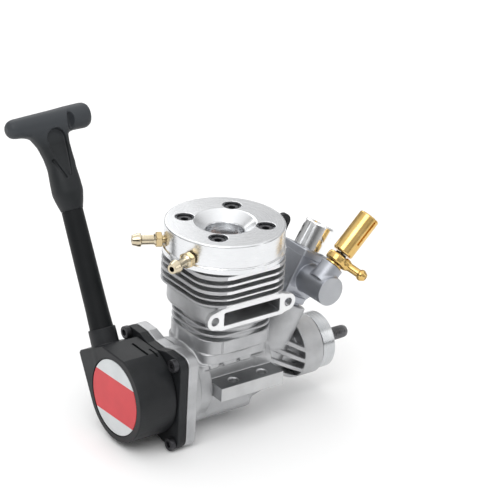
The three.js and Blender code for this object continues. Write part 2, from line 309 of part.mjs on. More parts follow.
let housing = add(prism(shell(0), HOUSING_X1 - HOUSING_X0, AX(HOUSING_X0)), cyl(5.25, 15.5, 28, CORDM, 5.05, -10.5));
housing = cut(housing, cyl(14.55, 0.6, 40, AX(HOUSING_X0 - 0.1)), prism(shell(1.9), 14.2, AX(HOUSING_X0 + 1.7)), cyl(1.9, 16, 16, CORDM, 1.9, -12), cyl(4.55, 8, 24, CORDM, 4.55, -1.5));
housing = cut(housing, screwYZ.map(([y, z]) => cyl(3.0, 4, 16, AX(-33.5, y, z))), box(-35.4, -34.6, -4.8, 5.2, 15.6, 20), box(-32.4, -31.7, -7.0, -1.5, 15.6, 20));
node("starter_housing", housing, BLACK);
node("starter_sticker", cyl(14.3, 0.3, 48, AX(HOUSING_X0 + 0.15)), STICKER);
screwYZ.forEach(([y, z], i) => node(`starter_screw_${i + 1}`, cut(turned([[0, -32.0], [2.25, -32.0], [2.4, -31.8], [2.4, -29.95], [1.15, -29.95], [1.15, -22.6], [0, -22.6]], 16, AX(0, y, z)), prism(ngon(1.3, 6), 1.6, AX(-32.6, y, z))), BLACK_STEEL));
const cordFrame = new THREE.Group();
cordFrame.position.set(CORD_X, CORD_Y, CORD_Z);
cordFrame.rotation.x = -CORD_TILT;
engine.add(cordFrame);
node("cord_guide_tube", turned([[2.5, -1.3], [4.3, -1.3], [4.45, 2.6], [4.35, 6.0], [4.2, 12.0], [4.0, TUBE_TOP], [3.05, TUBE_TOP], [3.05, TUBE_TOP - 7], [2.5, TUBE_TOP - 8]], 28), BLACK, cordFrame);
// the grip: a waisted stem that widens into a cross bar
const stem = [[TUBE_TOP + 0.3, 4.05, 4.05, 2], [TUBE_TOP + 2.5, 4.8, 4.7, 2], [TUBE_TOP + 6.5, 5.7, 5.4, 2], [TUBE_TOP + 11, 5.5, 5.1, 2], [TUBE_TOP + 15.5, 5.2, 4.5, 2.3], [TUBE_TOP + 20, 5.6, 3.9, 2.8], [TUBE_TOP + 24.5, 6.6, 3.5, 3.2], [TUBE_TOP + 28, 8.4, 3.3, 3.2], [TUBE_TOP + 30.5, 11.0, 3.2, 3.2], [BAR_S, 12.5, 3.0, 3.2]];
const superEllipse = (a, b, e, z, n = 18) => Array.from({ length: n }, (_, i) => { const t = (2 * Math.PI * i) / n, c = Math.cos(t), s = Math.sin(t); return [a * Math.sign(c) * Math.abs(c) ** (2 / e), b * Math.sign(s) * Math.abs(s) ** (2 / e), z]; });
let grip = loft(stem.map(([z, a, b, e]) => superEllipse(a, b, e, z)));
const bar = turned([[0, -18.3], [2.2, -18.1], [3.3, -16.8], [3.6, -15.0], [3.9, -8.0], [4.2, 0], [4.6, 7.0], [4.7, 14.0], [4.0, 15.2], [2.6, 15.7], [0, 15.7]], 20, AX(0, 0, BAR_S));
grip = add(grip, bar, cyl(2.6, 6.5, 20, undefined, 2.75, TUBE_TOP - 5.8));
grip = cut(grip, cyl(1.1, 20, 12, undefined, 1.1, TUBE_TOP - 7));
node("pull_grip", grip, BLACK, cordFrame);

// reel, cord, spring and one-way ring inside the housing
node("cord_reel", cut(turned([[3.6, -43.5], [12.2, -43.5], [12.2, -42.1], [8.6, -42.1], [8.6, -38.3], [12.2, -38.3], [12.2, -37.0], [3.6, -37.0]], 36, AX())), BLACK);
node("cord_winding", turned([[8.75, -41.8], [9.9, -41.8], [9.9, -38.6], [8.75, -38.6]], 32, AX()), CORD);
node("one_way_ring", turned([[3.0, -43.0], [3.5, -43.0], [3.5, -37.4], [3.0, -37.4]], 24, AX()), STEEL);
node("reel_screw", turned([[0, -43.9], [2.8, -43.9], [2.8, -43.62], [0, -43.62]], 16, AX()), STEEL);
const spiral = (() => {
  const out = [], inn = [], N = 56, turns = 4;
  for (let i = 0; i <= N; i++) { const t = (turns * 2 * Math.PI * i) / N, r = 5.6 + (6.8 * i) / N; out.push([(r + 0.15) * Math.cos(t), (r + 0.15) * Math.sin(t)]); inn.push([(r - 0.15) * Math.cos(t), (r - 0.15) * Math.sin(t)]); }
  return out.concat(inn.reverse());
})();
node("recoil_spring", prism(spiral, 2.6, AX(-36.2)), STEEL);
// the cord leaves the reel at a tangent and runs up the tube into the grip
const REEL_CORD_R = 10.9;
const along = (s) => new THREE.Vector3(CORD_X, CORD_Y + s * cordDir[1], CORD_Z + s * cordDir[2]);
const route = [new THREE.Vector3(CORD_X, 10.87, -0.6), new THREE.Vector3(CORD_X, 11.15, 3.5), new THREE.Vector3(CORD_X, 11.75, 6.6), along(-7.2), along(-4.5), along(0), along(12), along(24), along(36), along(TUBE_TOP - 2), along(TUBE_TOP + 6)];
const cordShape = new THREE.Shape(ngon(0.8, 8).map(([x, y]) => new THREE.Vector2(x, y)));
node("pull_cord", solid(new THREE.ExtrudeGeometry(cordShape, { steps: 22, bevelEnabled: false, extrudePath: new THREE.CatmullRomCurve3(route) })), CORD);

export default engine;
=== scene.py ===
import bpy, math
import numpy as np
from mathutils import Vector, Matrix

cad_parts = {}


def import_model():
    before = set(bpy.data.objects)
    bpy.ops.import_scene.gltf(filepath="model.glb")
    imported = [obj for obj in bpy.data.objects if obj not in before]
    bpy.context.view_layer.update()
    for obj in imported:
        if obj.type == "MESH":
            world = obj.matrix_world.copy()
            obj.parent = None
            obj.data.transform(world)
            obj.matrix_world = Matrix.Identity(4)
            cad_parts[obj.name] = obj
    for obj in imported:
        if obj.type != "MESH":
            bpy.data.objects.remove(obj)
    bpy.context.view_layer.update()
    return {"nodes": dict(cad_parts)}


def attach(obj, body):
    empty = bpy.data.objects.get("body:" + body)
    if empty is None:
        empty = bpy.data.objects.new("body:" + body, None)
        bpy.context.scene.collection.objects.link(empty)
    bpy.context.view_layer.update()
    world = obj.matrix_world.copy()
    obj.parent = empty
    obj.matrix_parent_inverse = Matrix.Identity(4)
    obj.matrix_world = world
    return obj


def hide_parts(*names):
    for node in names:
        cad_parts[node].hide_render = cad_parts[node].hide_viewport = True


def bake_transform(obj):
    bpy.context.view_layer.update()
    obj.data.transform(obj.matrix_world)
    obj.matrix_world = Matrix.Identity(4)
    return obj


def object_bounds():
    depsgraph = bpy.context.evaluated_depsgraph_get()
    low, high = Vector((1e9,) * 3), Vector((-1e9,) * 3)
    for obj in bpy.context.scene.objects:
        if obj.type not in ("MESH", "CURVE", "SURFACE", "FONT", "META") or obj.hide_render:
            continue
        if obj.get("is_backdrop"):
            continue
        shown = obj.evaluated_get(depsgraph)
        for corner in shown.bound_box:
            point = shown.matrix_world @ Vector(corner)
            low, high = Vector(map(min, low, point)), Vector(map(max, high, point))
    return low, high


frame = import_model()
OFF = np.array([-2.45, 0.0, 2.3])  # engine frame (crank axis meets cylinder axis) -> row frame, mm
rad = math.radians

# ============================================================ camera
V3 = np.array([-0.5503, -0.7213, 0.4206])
R3 = np.array([0.8080, -0.5870, 0.0506])
U3 = np.array([0.2103, 0.3676, 0.9059])
V3 /= np.linalg.norm(V3)
R3 -= V3 * (R3 @ V3); R3 /= np.linalg.norm(R3)
U3 = np.cross(V3, R3)
cam_data = bpy.data.cameras.new("camera")
cam_data.lens, cam_data.sensor_width, cam_data.clip_start, cam_data.clip_end = 161.57, 36.0, 0.01, 20.0
cam = bpy.data.objects.new("camera", cam_data)
bpy.context.scene.collection.objects.link(cam)
eye = (np.array([-438.9, -590.9, 389.8]) + OFF) / 1000
cam.matrix_world = Matrix(((R3[0], U3[0], V3[0], eye[0]), (R3[1], U3[1], V3[1], eye[1]), (R3[2], U3[2], V3[2], eye[2]), (0, 0, 0, 1)))
bpy.context.scene.camera = cam

# ============================================================ materials
def new_mat(name):
    m = bpy.data.materials.new(name)
    m.use_nodes = True
    nt = m.node_tree
    return m, nt, nt.nodes["Principled BSDF"]

def N(nt, kind, **inputs):
    n = nt.nodes.new(kind)
    for k, v in inputs.items():
        if k in n.inputs.keys():
            n.inputs[k].default_value = v
        else:
            setattr(n, k, v)
    return n

def ramp(nt, fac, stops):
    r = nt.nodes.new("ShaderNodeValToRGB")
    el = r.color_ramp.elements
    while len(el) > 1: el.remove(el[-1])
    el[0].position, el[0].color = stops[0][0], (*stops[0][1], 1)
    for p, c in stops[1:]:
        e = el.new(p); e.color = (*c, 1)
    nt.links.new(fac, r.inputs["Fac"])
    return r.outputs["Color"]

def g3(v): return (v, v, v)

def metal(name, lo, hi, r_lo, r_hi, noise=900.0, bump=0.25, bump_mm=0.02, speckle=None, metallic=1.0, coat=0.0, fine=6.0):
    """A metal whose colour and roughness drift, with a fine surface texture; noise is in cycles per metre."""
    m, nt, b = new_mat(name)
    tc = nt.nodes.new("ShaderNodeTexCoord")
    big = N(nt, "ShaderNodeTexNoise", Scale=noise * 0.12, Detail=3.0, Roughness=0.55)
    small = N(nt, "ShaderNodeTexNoise", Scale=noise * fine, Detail=3.0, Roughness=0.6)
    for n in (big, small): nt.links.new(tc.outputs["Object"], n.inputs["Vector"])
    nt.links.new(ramp(nt, big.outputs["Fac"], [(0.3, lo), (0.7, hi)]), b.inputs["Base Color"])
    nt.links.new(ramp(nt, small.outputs["Fac"], [(0.3, g3(r_lo)), (0.7, g3(r_hi))]), b.inputs["Roughness"])
    b.inputs["Metallic"].default_value = metallic
    if coat: b.inputs["Coat Weight"].default_value = coat
    bp = N(nt, "ShaderNodeBump", Strength=bump, Distance=bump_mm / 1000)
    nt.links.new(small.outputs["Fac"], bp.inputs["Height"])
    nt.links.new(bp.outputs["Normal"], b.inputs["Normal"])
    return m

CAST = metal("cast_aluminium", (0.44, 0.445, 0.455), (0.55, 0.555, 0.565), 0.42, 0.56, noise=1000, bump=0.55, bump_mm=0.035, fine=3.0)
MILLED = metal("milled_aluminium", (0.50, 0.505, 0.51), (0.60, 0.605, 0.61), 0.30, 0.42, noise=900, bump=0.3, bump_mm=0.012, fine=8.0)
CARBC = metal("carburettor_casting", (0.36, 0.375, 0.41), (0.46, 0.475, 0.51), 0.40, 0.52, noise=1000, bump=0.45, bump_mm=0.03, fine=3.5)
STEEL = metal("dark_steel", (0.16, 0.16, 0.165), (0.26, 0.26, 0.265), 0.30, 0.45, noise=1500, bump=0.2)
OXIDE = metal("black_oxide", (0.035, 0.035, 0.04), (0.07, 0.07, 0.075), 0.28, 0.42, noise=1500, bump=0.2, metallic=0.7)
GROUND = metal("ground_steel", (0.60, 0.61, 0.62), (0.72, 0.73, 0.74), 0.18, 0.28, noise=1500, bump=0.1)
BRASS = metal("brass", (0.66, 0.43, 0.14), (0.78, 0.54, 0.21), 0.14, 0.26, noise=1200, bump=0.12, bump_mm=0.01, fine=8.0)
PALEBR = metal("pale_brass", (0.58, 0.50, 0.36), (0.68, 0.60, 0.45), 0.10, 0.2, noise=1200, bump=0.1, bump_mm=0.01)
HEXBR = metal("nipple_hexagon", (0.58, 0.45, 0.25), (0.68, 0.55, 0.34), 0.14, 0.26, noise=1200, bump=0.1, bump_mm=0.01)
COPPER = metal("copper", (0.70, 0.36, 0.24), (0.80, 0.46, 0.32), 0.25, 0.4, noise=1200, bump=0.1)

def turned_metal(name, lo, hi, rough, axis="Z", rings=5200.0, depth=0.006):
    """Lathe-turned aluminium: fine rings round the axis on the faces and along it on the sides."""
    m, nt, b = new_mat(name)
    tc = nt.nodes.new("ShaderNodeTexCoord")
    big = N(nt, "ShaderNodeTexNoise", Scale=140.0, Detail=2.0)
    nt.links.new(tc.outputs["Object"], big.inputs["Vector"])
    nt.links.new(ramp(nt, big.outputs["Fac"], [(0.3, lo), (0.7, hi)]), b.inputs["Base Color"])
    b.inputs["Metallic"].default_value = 1.0
    sep = nt.nodes.new("ShaderNodeSeparateXYZ")
    mp = nt.nodes.new("ShaderNodeMapping")
    c = (OFF / 1000)
    mp.inputs["Location"].default_value = (-c[0], -c[1], -c[2])
    nt.links.new(tc.outputs["Object"], mp.inputs["Vector"])
    nt.links.new(mp.outputs["Vector"], sep.inputs["Vector"])
    a = {"X": ("Y", "Z", "X"), "Z": ("X", "Y", "Z")}[axis]
    def math_(op, x, y=None):
        n = nt.nodes.new("ShaderNodeMath"); n.operation = op
        for i, v in enumerate((x, y)):
            if v is None: continue
            if isinstance(v, float): n.inputs[i].default_value = v
            else: nt.links.new(v, n.inputs[i])
        return n.outputs[0]
    r = math_("SQRT", math_("ADD", math_("MULTIPLY", sep.outputs[a[0]], sep.outputs[a[0]]), math_("MULTIPLY", sep.outputs[a[1]], sep.outputs[a[1]])))
    w = math_("MULTIPLY", math_("ADD", math_("MULTIPLY", r, 1.0), math_("MULTIPLY", sep.outputs[a[2]], 1.0)), rings)
    n1 = N(nt, "ShaderNodeTexNoise", noise_dimensions="1D", Scale=1.0, Detail=3.0)
    nt.links.new(w, n1.inputs["W"])
    nt.links.new(ramp(nt, n1.outputs["Fac"], [(0.25, g3(rough * 0.8)), (0.75, g3(rough * 1.3))]), b.inputs["Roughness"])
    bp = N(nt, "ShaderNodeBump", Strength=0.5, Distance=depth / 1000)
    nt.links.new(n1.outputs["Fac"], bp.inputs["Height"])
    nt.links.new(bp.outputs["Normal"], b.inputs["Normal"])
    return m

TURNED_Z = turned_metal("turned_head", (0.74, 0.75, 0.765), (0.80, 0.81, 0.825), 0.24, "Z")
TURNED_X = turned_metal("turned_hub", (0.46, 0.475, 0.49), (0.60, 0.61, 0.62), 0.22, "X")

def plastic(name, lo, hi, r_lo, r_hi, bump=0.3, spec=0.5, grain=9000.0):
    m, nt, b = new_mat(name)
    tc = nt.nodes.new("ShaderNodeTexCoord")
    big = N(nt, "ShaderNodeTexNoise", Scale=130.0, Detail=3.0)
    small = N(nt, "ShaderNodeTexNoise", Scale=grain, Detail=2.0)
    for n in (big, small): nt.links.new(tc.outputs["Object"], n.inputs["Vector"])
    nt.links.new(ramp(nt, big.outputs["Fac"], [(0.3, lo), (0.7, hi)]), b.inputs["Base Color"])
    nt.links.new(ramp(nt, small.outputs["Fac"], [(0.3, g3(r_lo)), (0.7, g3(r_hi))]), b.inputs["Roughness"])
    b.inputs["Specular IOR Level"].default_value = spec
    bp = N(nt, "ShaderNodeBump", Strength=bump, Distance=0.00002)
    nt.links.new(small.outputs["Fac"], bp.inputs["Height"])
    nt.links.new(bp.outputs["Normal"], b.inputs["Normal"])
    return m

BLACK = plastic("black_plastic", (0.010, 0.011, 0.0125), (0.016, 0.0175, 0.0195), 0.42, 0.54, spec=0.30)
TUBEM = plastic("tube_plastic", (0.006, 0.007, 0.008), (0.009, 0.010, 0.011), 0.42, 0.54, spec=0.18)
GRIPM = plastic("grip_plastic", (0.010, 0.012, 0.0135), (0.016, 0.018, 0.020), 0.44, 0.56, spec=0.32)
def painted_top_sheen(m, z0, z1, colour):
    """Paints a paler top on a piece, blended in by height: a painted sheen where light falls on it from above."""
    nt = m.node_tree; b = next(n for n in nt.nodes if n.bl_idname == "ShaderNodeBsdfPrincipled")
    tc = nt.nodes.new("ShaderNodeTexCoord"); sp = nt.nodes.new("ShaderNodeSeparateXYZ"); mr = N(nt, "ShaderNodeMapRange")
    nt.links.new(tc.outputs["Object"], sp.inputs["Vector"]); nt.links.new(sp.outputs["Z"], mr.inputs["Value"])
    mr.inputs["From Min"].default_value = z0; mr.inputs["From Max"].default_value = z1
    mx = nt.nodes.new("ShaderNodeMixRGB"); old = b.inputs["Base Color"].links[0].from_socket
    nt.links.new(mr.outputs["Result"], mx.inputs["Fac"]); nt.links.new(old, mx.inputs["Color1"]); mx.inputs["Color2"].default_value = (*colour, 1)
    nt.links.new(mx.outputs["Color"], b.inputs["Base Color"])
# the grip bar's top is painted paler: a painted sheen for the light falling on it from above
painted_top_sheen(GRIPM, 0.082, 0.0885, (0.043, 0.048, 0.054))
RUBBER = plastic("rubber", (0.015, 0.015, 0.016), (0.022, 0.022, 0.023), 0.7, 0.8, spec=0.3)
CORDM = plastic("cord_braid", (0.62, 0.60, 0.55), (0.76, 0.74, 0.69), 0.8, 0.9, grain=3000.0)


def maths(nt, op, *args):
    n = nt.nodes.new("ShaderNodeMath"); n.operation = op
    for i, v in enumerate(args):
        if isinstance(v, (int, float)): n.inputs[i].default_value = float(v)
        else: nt.links.new(v, n.inputs[i])
    return n.outputs[0]

def sticker_material():
    """A round printed film: white, with one red band sloping down across it."""
    m, nt, b = new_mat("sticker_film")
    tc = nt.nodes.new("ShaderNodeTexCoord")
    sep = nt.nodes.new("ShaderNodeSeparateXYZ")
    nt.links.new(tc.outputs["Object"], sep.inputs["Vector"])
    y = maths(nt, "MULTIPLY", sep.outputs["Y"], 1000.0)
    z = maths(nt, "SUBTRACT", maths(nt, "MULTIPLY", sep.outputs["Z"], 1000.0), float(OFF[2]))
    # across is measured square to the band; a point (y, z) on the disc
    across = maths(nt, "ADD", maths(nt, "MULTIPLY", z, math.cos(BAND)), maths(nt, "MULTIPLY", y, -math.sin(BAND)))
    up = maths(nt, "MULTIPLY_ADD", across, 9.0, 0.5 - 9.0 * BAND_LO)
    dn = maths(nt, "MULTIPLY_ADD", across, -9.0, 0.5 + 9.0 * BAND_HI)
    for k in (up, dn): k.node.use_clamp = True
    inside = maths(nt, "MULTIPLY", up, dn)
    big = N(nt, "ShaderNodeTexNoise", Scale=160.0, Detail=2.0)
    nt.links.new(tc.outputs["Object"], big.inputs["Vector"])
    red = ramp(nt, big.outputs["Fac"], [(0.3, (0.60, 0.012, 0.022)), (0.7, (0.66, 0.018, 0.03))])
    white = ramp(nt, big.outputs["Fac"], [(0.3, (0.60, 0.63, 0.64)), (0.7, (0.66, 0.69, 0.70))])
    mx = nt.nodes.new("ShaderNodeMix"); mx.data_type = "RGBA"
    nt.links.new(inside, mx.inputs["Factor"]); nt.links.new(white, mx.inputs["A"]); nt.links.new(red, mx.inputs["B"])
    nt.links.new(mx.outputs["Result"], b.inputs["Base Color"])
    b.inputs["Roughness"].default_value = 0.32
    b.inputs["Coat Weight"].default_value = 0.1
    return m

BAND, BAND_LO, BAND_HI = rad(-2.6), -8.0, 7.35
STICKER = sticker_material()

# ============================================================ solids as distance fields (engine frame, mm)
FARD = 5.0
def rot_y(a, o=(0, 0, 0)):
    c, s = math.cos(a), math.sin(a)
    return np.array(o, float), np.array([[c, 0, -s], [0, 1, 0], [s, 0, c]], float)
def AX(x=0., y=0., z=0.): return np.array([x, y, z], float), np.array([[0, 1, 0], [0, 0, 1], [1, 0, 0]], float)
def AY(x=0., y=0., z=0.): return np.array([x, y, z], float), np.array([[1, 0, 0], [0, 0, 1], [0, -1, 0]], float)
def AZ(x=0., y=0., z=0.): return np.array([x, y, z], float), np.eye(3)
def inner(F, o, A):
    """Frame given inside frame F."""
    O, B = F
    return O + np.array(o, float) @ B, np.array(A, float) @ B
def loc(P, F): return (P - F[0]) @ F[1].T
def world(L, F): return np.asarray(L, float) @ F[1] + F[0]
def bb(F, lo, hi):
    c = np.array([[x, y, z] for x in (lo[0], hi[0]) for y in (lo[1], hi[1]) for z in (lo[2], hi[2])], float)
    w = world(c, F)
    return w.min(0), w.max(0)
def rmax(a, b, r):
    if r <= 0: return np.maximum(a, b)
    return np.minimum(np.maximum(a, b) + r, 0) + np.hypot(np.maximum(a + r, 0), np.maximum(b + r, 0)) - r
def smin(a, b, k):
    if k <= 0: return np.minimum(a, b)
    h = np.clip(0.5 + 0.5 * (b - a) / k, 0, 1)
    return b + (a - b) * h - k * h * (1 - h)
def smax(a, b, k): return -smin(-a, -b, k)

def rect2(a, b, r, cx=0., cy=0.):
    def f(x, y):
        qx, qy = np.abs(x - cx) - (a - r), np.abs(y - cy) - (b - r)
        return np.hypot(np.maximum(qx, 0), np.maximum(qy, 0)) + np.minimum(np.maximum(qx, qy), 0) - r
    return f, (cx - a, cy - b, cx + a, cy + b)
def poly2(V, grow=0.0):
    V = np.array(V, float)
    def f(x, y):
        d = np.full(len(x), 1e9); s = np.ones(len(x))
        for i in range(len(V)):
            j = i - 1
            ex, ey = V[j] - V[i]; wx, wy = x - V[i, 0], y - V[i, 1]
            t = np.clip((wx * ex + wy * ey) / max(ex * ex + ey * ey, 1e-12), 0, 1)
            d = np.minimum(d, (wx - ex * t) ** 2 + (wy - ey * t) ** 2)
            c1, c2, c3 = y >= V[i, 1], y < V[j, 1], ex * wy > ey * wx
            s = np.where((c1 & c2 & c3) | (~c1 & ~c2 & ~c3), -s, s)
        return s * np.sqrt(d) - grow
    return f, (*(V.min(0) - grow), *(V.max(0) + grow))
def prism(F, shape, h0, h1, e=0.0):
    fn, (x0, y0, x1, y1) = shape
    def f(P):
        L = loc(P, F)
        return rmax(fn(L[:, 0], L[:, 1]), np.abs(L[:, 2] - (h0 + h1) / 2) - (h1 - h0) / 2, e)
    return (f, *bb(F, (x0, y0, h0), (x1, y1, h1)))
def box(F, x0, x1, y0, y1, z0, z1, e=0.0):
    c = np.array([(x0 + x1) / 2, (y0 + y1) / 2, (z0 + z1) / 2]); h = np.array([(x1 - x0) / 2, (y1 - y0) / 2, (z1 - z0) / 2]) - e
    def f(P):
        q = np.abs(loc(P, F) - c) - h
        return np.linalg.norm(np.maximum(q, 0), axis=1) + np.minimum(q.max(1), 0) - e
    return (f, *bb(F, (x0, y0, z0), (x1, y1, z1)))
def cyl(F, R, h0, h1, R1=None, e=0.0):
    R1 = R if R1 is None else R1
    k = (R1 - R) / (h1 - h0); c = 1 / math.hypot(1, k)
    def f(P):
        L = loc(P, F)
        return rmax((np.hypot(L[:, 0], L[:, 1]) - R - k * (L[:, 2] - h0)) * c, np.abs(L[:, 2] - (h0 + h1) / 2) - (h1 - h0) / 2, e)
    m = max(R, R1)
    return (f, *bb(F, (-m, -m, h0), (m, m, h1)))
def turned(F, prof, grow=0.0):
    fn, (x0, y0, x1, y1) = poly2(prof, grow)
    def f(P):
        L = loc(P, F)
        return fn(np.hypot(L[:, 0], L[:, 1]), L[:, 2])
    return (f, *bb(F, (-x1, -x1, y0), (x1, x1, y1)))
def custom(fn, lo, hi): return (fn, np.array(lo, float), np.array(hi, float))

class Solid:
    def __init__(s): s.ops = []
    def add(s, prim, k=0.0): s.ops.append((0, prim, k)); return s
    def cut(s, prim, k=0.0): s.ops.append((1, prim, k)); return s
    def both(s, prim, k=0.0): s.ops.append((2, prim, k)); return s
    def __call__(s, P):
        lo, hi = P.min(0), P.max(0)
        d = np.full(len(P), FARD)
        for kind, (f, l, h), k in s.ops:
            if kind < 2 and max((l - hi).max(), (lo - h).max()) > 2.5 + k: continue
            v = f(P)
            d = smin(d, v, k) if kind == 0 else smax(d, -v, k) if kind == 1 else smax(d, v, k)
        return d
    def box(s):
        a = [o[1] for o in s.ops if o[0] == 0]
        return np.min([x[1] for x in a], 0), np.max([x[2] for x in a], 0)

def tiled(f, P, tile=8.0):
    q = np.floor(P / tile).astype(np.int64); q -= q.min(0)
    key = (q[:, 0] * 4096 + q[:, 1]) * 4096 + q[:, 2]
    order = np.argsort(key, kind="stable"); ks = key[order]
    cuts = np.flatnonzero(np.diff(ks)) + 1
    out = np.empty(len(P))
    for a, b in zip(np.r_[0, cuts], np.r_[cuts, len(P)]):
        for c in range(a, b, 120000):
            i = order[c:min(b, c + 120000)]
            out[i] = f(P[i])
    return out
TET = np.array([[1, -1, -1], [-1, -1, 1], [-1, 1, -1], [1, 1, 1]], float)
def gradient(f, P, e=0.02):
    g = np.zeros_like(P)
    for t in TET: g += t * tiled(f, P + t * e)[:, None]
    return g / (4 * e)

def surface(f, lo, hi, h):
    B = 4
    lo = np.array(lo, float) - 1.5 * h + 0.0137; hi = np.array(hi, float) + 1.5 * h
    nb = np.ceil((hi - lo) / h / B).astype(int) + 1
    ii = np.indices(nb).reshape(3, -1).T
    C = lo + (ii * B + (B - 1) / 2) * h
    dc = tiled(f, C)
    D = np.repeat(np.repeat(np.repeat(dc.reshape(nb).astype(np.float32), B, 0), B, 1), B, 2)
    keep = ii[np.abs(dc) < ((B - 1) / 2 * 1.7321 + 2.2) * h]
    o = np.indices((B, B, B)).reshape(3, -1).T
    G = (keep[:, None, :] * B + o[None]).reshape(-1, 3)
    D[G[:, 0], G[:, 1], G[:, 2]] = tiled(f, lo + G * h)
    S = D < 0
    for ax in range(3):  # nothing may touch the edge of the grid
        sl = [slice(None)] * 3
        for e in (0, -1): sl[ax] = e; assert not S[tuple(sl)].any(), "solid reaches the edge of its grid"
    c = sum(S[a:S.shape[0] - 1 + a, b:S.shape[1] - 1 + b, d:S.shape[2] - 1 + d].astype(np.int8) for a in (0, 1) for b in (0, 1) for d in (0, 1))
    act = (c > 0) & (c < 8)
    idx = np.full(act.shape, -1, np.int64); n = int(act.sum()); idx[act] = np.arange(n)
    I = np.argwhere(act)
    acc, cnt = np.zeros((n, 3)), np.zeros(n)
    for ax in range(3):
        for u in (0, 1):
            for w in (0, 1):
                a = np.zeros(3, int); a[(ax + 1) % 3] = u; a[(ax + 2) % 3] = w; b = a.copy(); b[ax] = 1
                A, Bp = I + a, I + b
                da, db = D[A[:, 0], A[:, 1], A[:, 2]], D[Bp[:, 0], Bp[:, 1], Bp[:, 2]]
                m = (da < 0) != (db < 0)
                t = np.where(m, da / np.where(m, da - db, 1), 0)
                p = np.repeat(a[None].astype(float), n, 0); p[:, ax] = t
                acc += np.where(m[:, None], p, 0); cnt += m
    V = lo + (I + acc / cnt[:, None]) * h
    quads = []
    for ax in range(3):
        sl0 = [slice(None)] * 3; sl1 = [slice(None)] * 3
        sl0[ax] = slice(0, -1); sl1[ax] = slice(1, None)
        a, b = S[tuple(sl0)], S[tuple(sl1)]
        for flip, m in ((False, a & ~b), (True, ~a & b)):
            E = np.argwhere(m)
            u, w = np.zeros(3, int), np.zeros(3, int); u[(ax + 1) % 3] = 1; w[(ax + 2) % 3] = 1
            q = [idx[tuple((E - u - w).T)], idx[tuple((E - w).T)], idx[tuple(E.T)], idx[tuple((E - u).T)]]
            q = np.stack(q if not flip else q[::-1], 1)
            quads.append(q)
    return V, np.concatenate(quads)

def make_mesh(name, V, Fc):
    me = bpy.data.meshes.new(name)
    me.vertices.add(len(V)); me.vertices.foreach_set("co", V.astype(np.float32).ravel())
    k = Fc.shape[1]
    me.loops.add(len(Fc) * k); me.loops.foreach_set("vertex_index", Fc.astype(np.int32).ravel())
    me.polygons.add(len(Fc)); me.polygons.foreach_set("loop_start", np.arange(0, len(Fc) * k, k, dtype=np.int32))
    me.update(calc_edges=True); me.validate()
    return me

def put(name, me, body, mats, nodes=()):
    o = bpy.data.objects.new(name, me)
    bpy.context.scene.collection.objects.link(o)
    for m in mats: me.materials.append(m)
    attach(o, body)
    if nodes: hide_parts(*nodes)
    return o

def sdf_piece(name, f, h, body, mats, nodes=(), faces=20000, pick=None, lohi=None, moves=None):
    """Meshes a distance field, thins the flat areas, puts the points back on the surface and sets exact shading normals."""
    lo, hi = lohi or f.box()
    V, Q = surface(f, lo, hi, h)
    for _ in range(2):
        g = gradient(f, V); d = tiled(f, V)
        step = g * (d / np.maximum((g * g).sum(1), 0.3))[:, None]
        ln = np.linalg.norm(step, axis=1); V = V - step * np.minimum(1, 0.6 * h / np.maximum(ln, 1e-9))[:, None]
    T = np.concatenate([Q[:, [0, 1, 2]], Q[:, [0, 2, 3]]])
    # the shorter diagonal of each quad
    d1 = np.linalg.norm(V[Q[:, 0]] - V[Q[:, 2]], axis=1); d2 = np.linalg.norm(V[Q[:, 1]] - V[Q[:, 3]], axis=1)
    w = d2 < d1
    T = np.concatenate([Q[~w][:, [0, 1, 2]], Q[~w][:, [0, 2, 3]], Q[w][:, [0, 1, 3]], Q[w][:, [1, 2, 3]]])
    me = make_mesh(name, V, T)
    if len(T) > faces:
        o = bpy.data.objects.new(name + "_tmp", me)
        bpy.context.scene.collection.objects.link(o)
        mod = o.modifiers.new("thin", "DECIMATE"); mod.ratio = faces / len(T); mod.use_collapse_triangulate = True
        dg = bpy.context.evaluated_depsgraph_get()
        new = bpy.data.meshes.new_from_object(o.evaluated_get(dg))
        bpy.data.objects.remove(o); bpy.data.meshes.remove(me)
        me = new; me.name = name
    nv, nl, npoly = len(me.vertices), len(me.loops), len(me.polygons)
    V = np.empty(nv * 3, np.float32); me.vertices.foreach_get("co", V); V = V.reshape(-1, 3).astype(float)
    L = np.empty(nl, np.int32); me.loops.foreach_get("vertex_index", L)
    T = L.reshape(-1, 3)
    cen = V[T].mean(1)
    # shading normals are read a little inside each face, so that a flat face stays flat up to its edge
    cor = V[T].reshape(-1, 3); c3 = np.repeat(cen, 3, 0)
    away = c3 - cor; ln = np.linalg.norm(away, axis=1)
    pts = cor + away * (np.minimum(0.25 * ln, 0.35) / np.maximum(ln, 1e-9))[:, None]
    nrm = gradient(f, pts)
    nrm /= np.maximum(np.linalg.norm(nrm, axis=1), 1e-6)[:, None]
    fn = np.cross(V[T[:, 1]] - V[T[:, 0]], V[T[:, 2]] - V[T[:, 0]])
    fn /= np.maximum(np.linalg.norm(fn, axis=1), 1e-12)[:, None]
    f3 = np.repeat(fn, 3, 0)
    bad = (nrm * f3).sum(1) < 0.35
    nrm[bad] = f3[bad]
    if pick is not None and len(mats) > 1:
        me.polygons.foreach_set("material_index", pick(cen, fn).astype(np.int32))
    out = []
    for i, (mv, nm, nd) in enumerate(moves or [(None, name, nodes)]):
        m2 = me.copy() if i < len(moves or [1]) - 1 else me
        W, NN = (V, nrm) if mv is None else (V @ mv[1] + mv[0], nrm @ mv[1])
        m2.vertices.foreach_set("co", ((W + OFF) / 1000).astype(np.float32).ravel())
        m2.polygons.foreach_set("use_smooth", np.ones(npoly, bool))
        m2.update()
        m2.normals_split_custom_set(NN.astype(np.float32))
        m2.name = nm
        out.append(put(nm, m2, body, mats, nd))
    return out[0] if len(out) == 1 else out

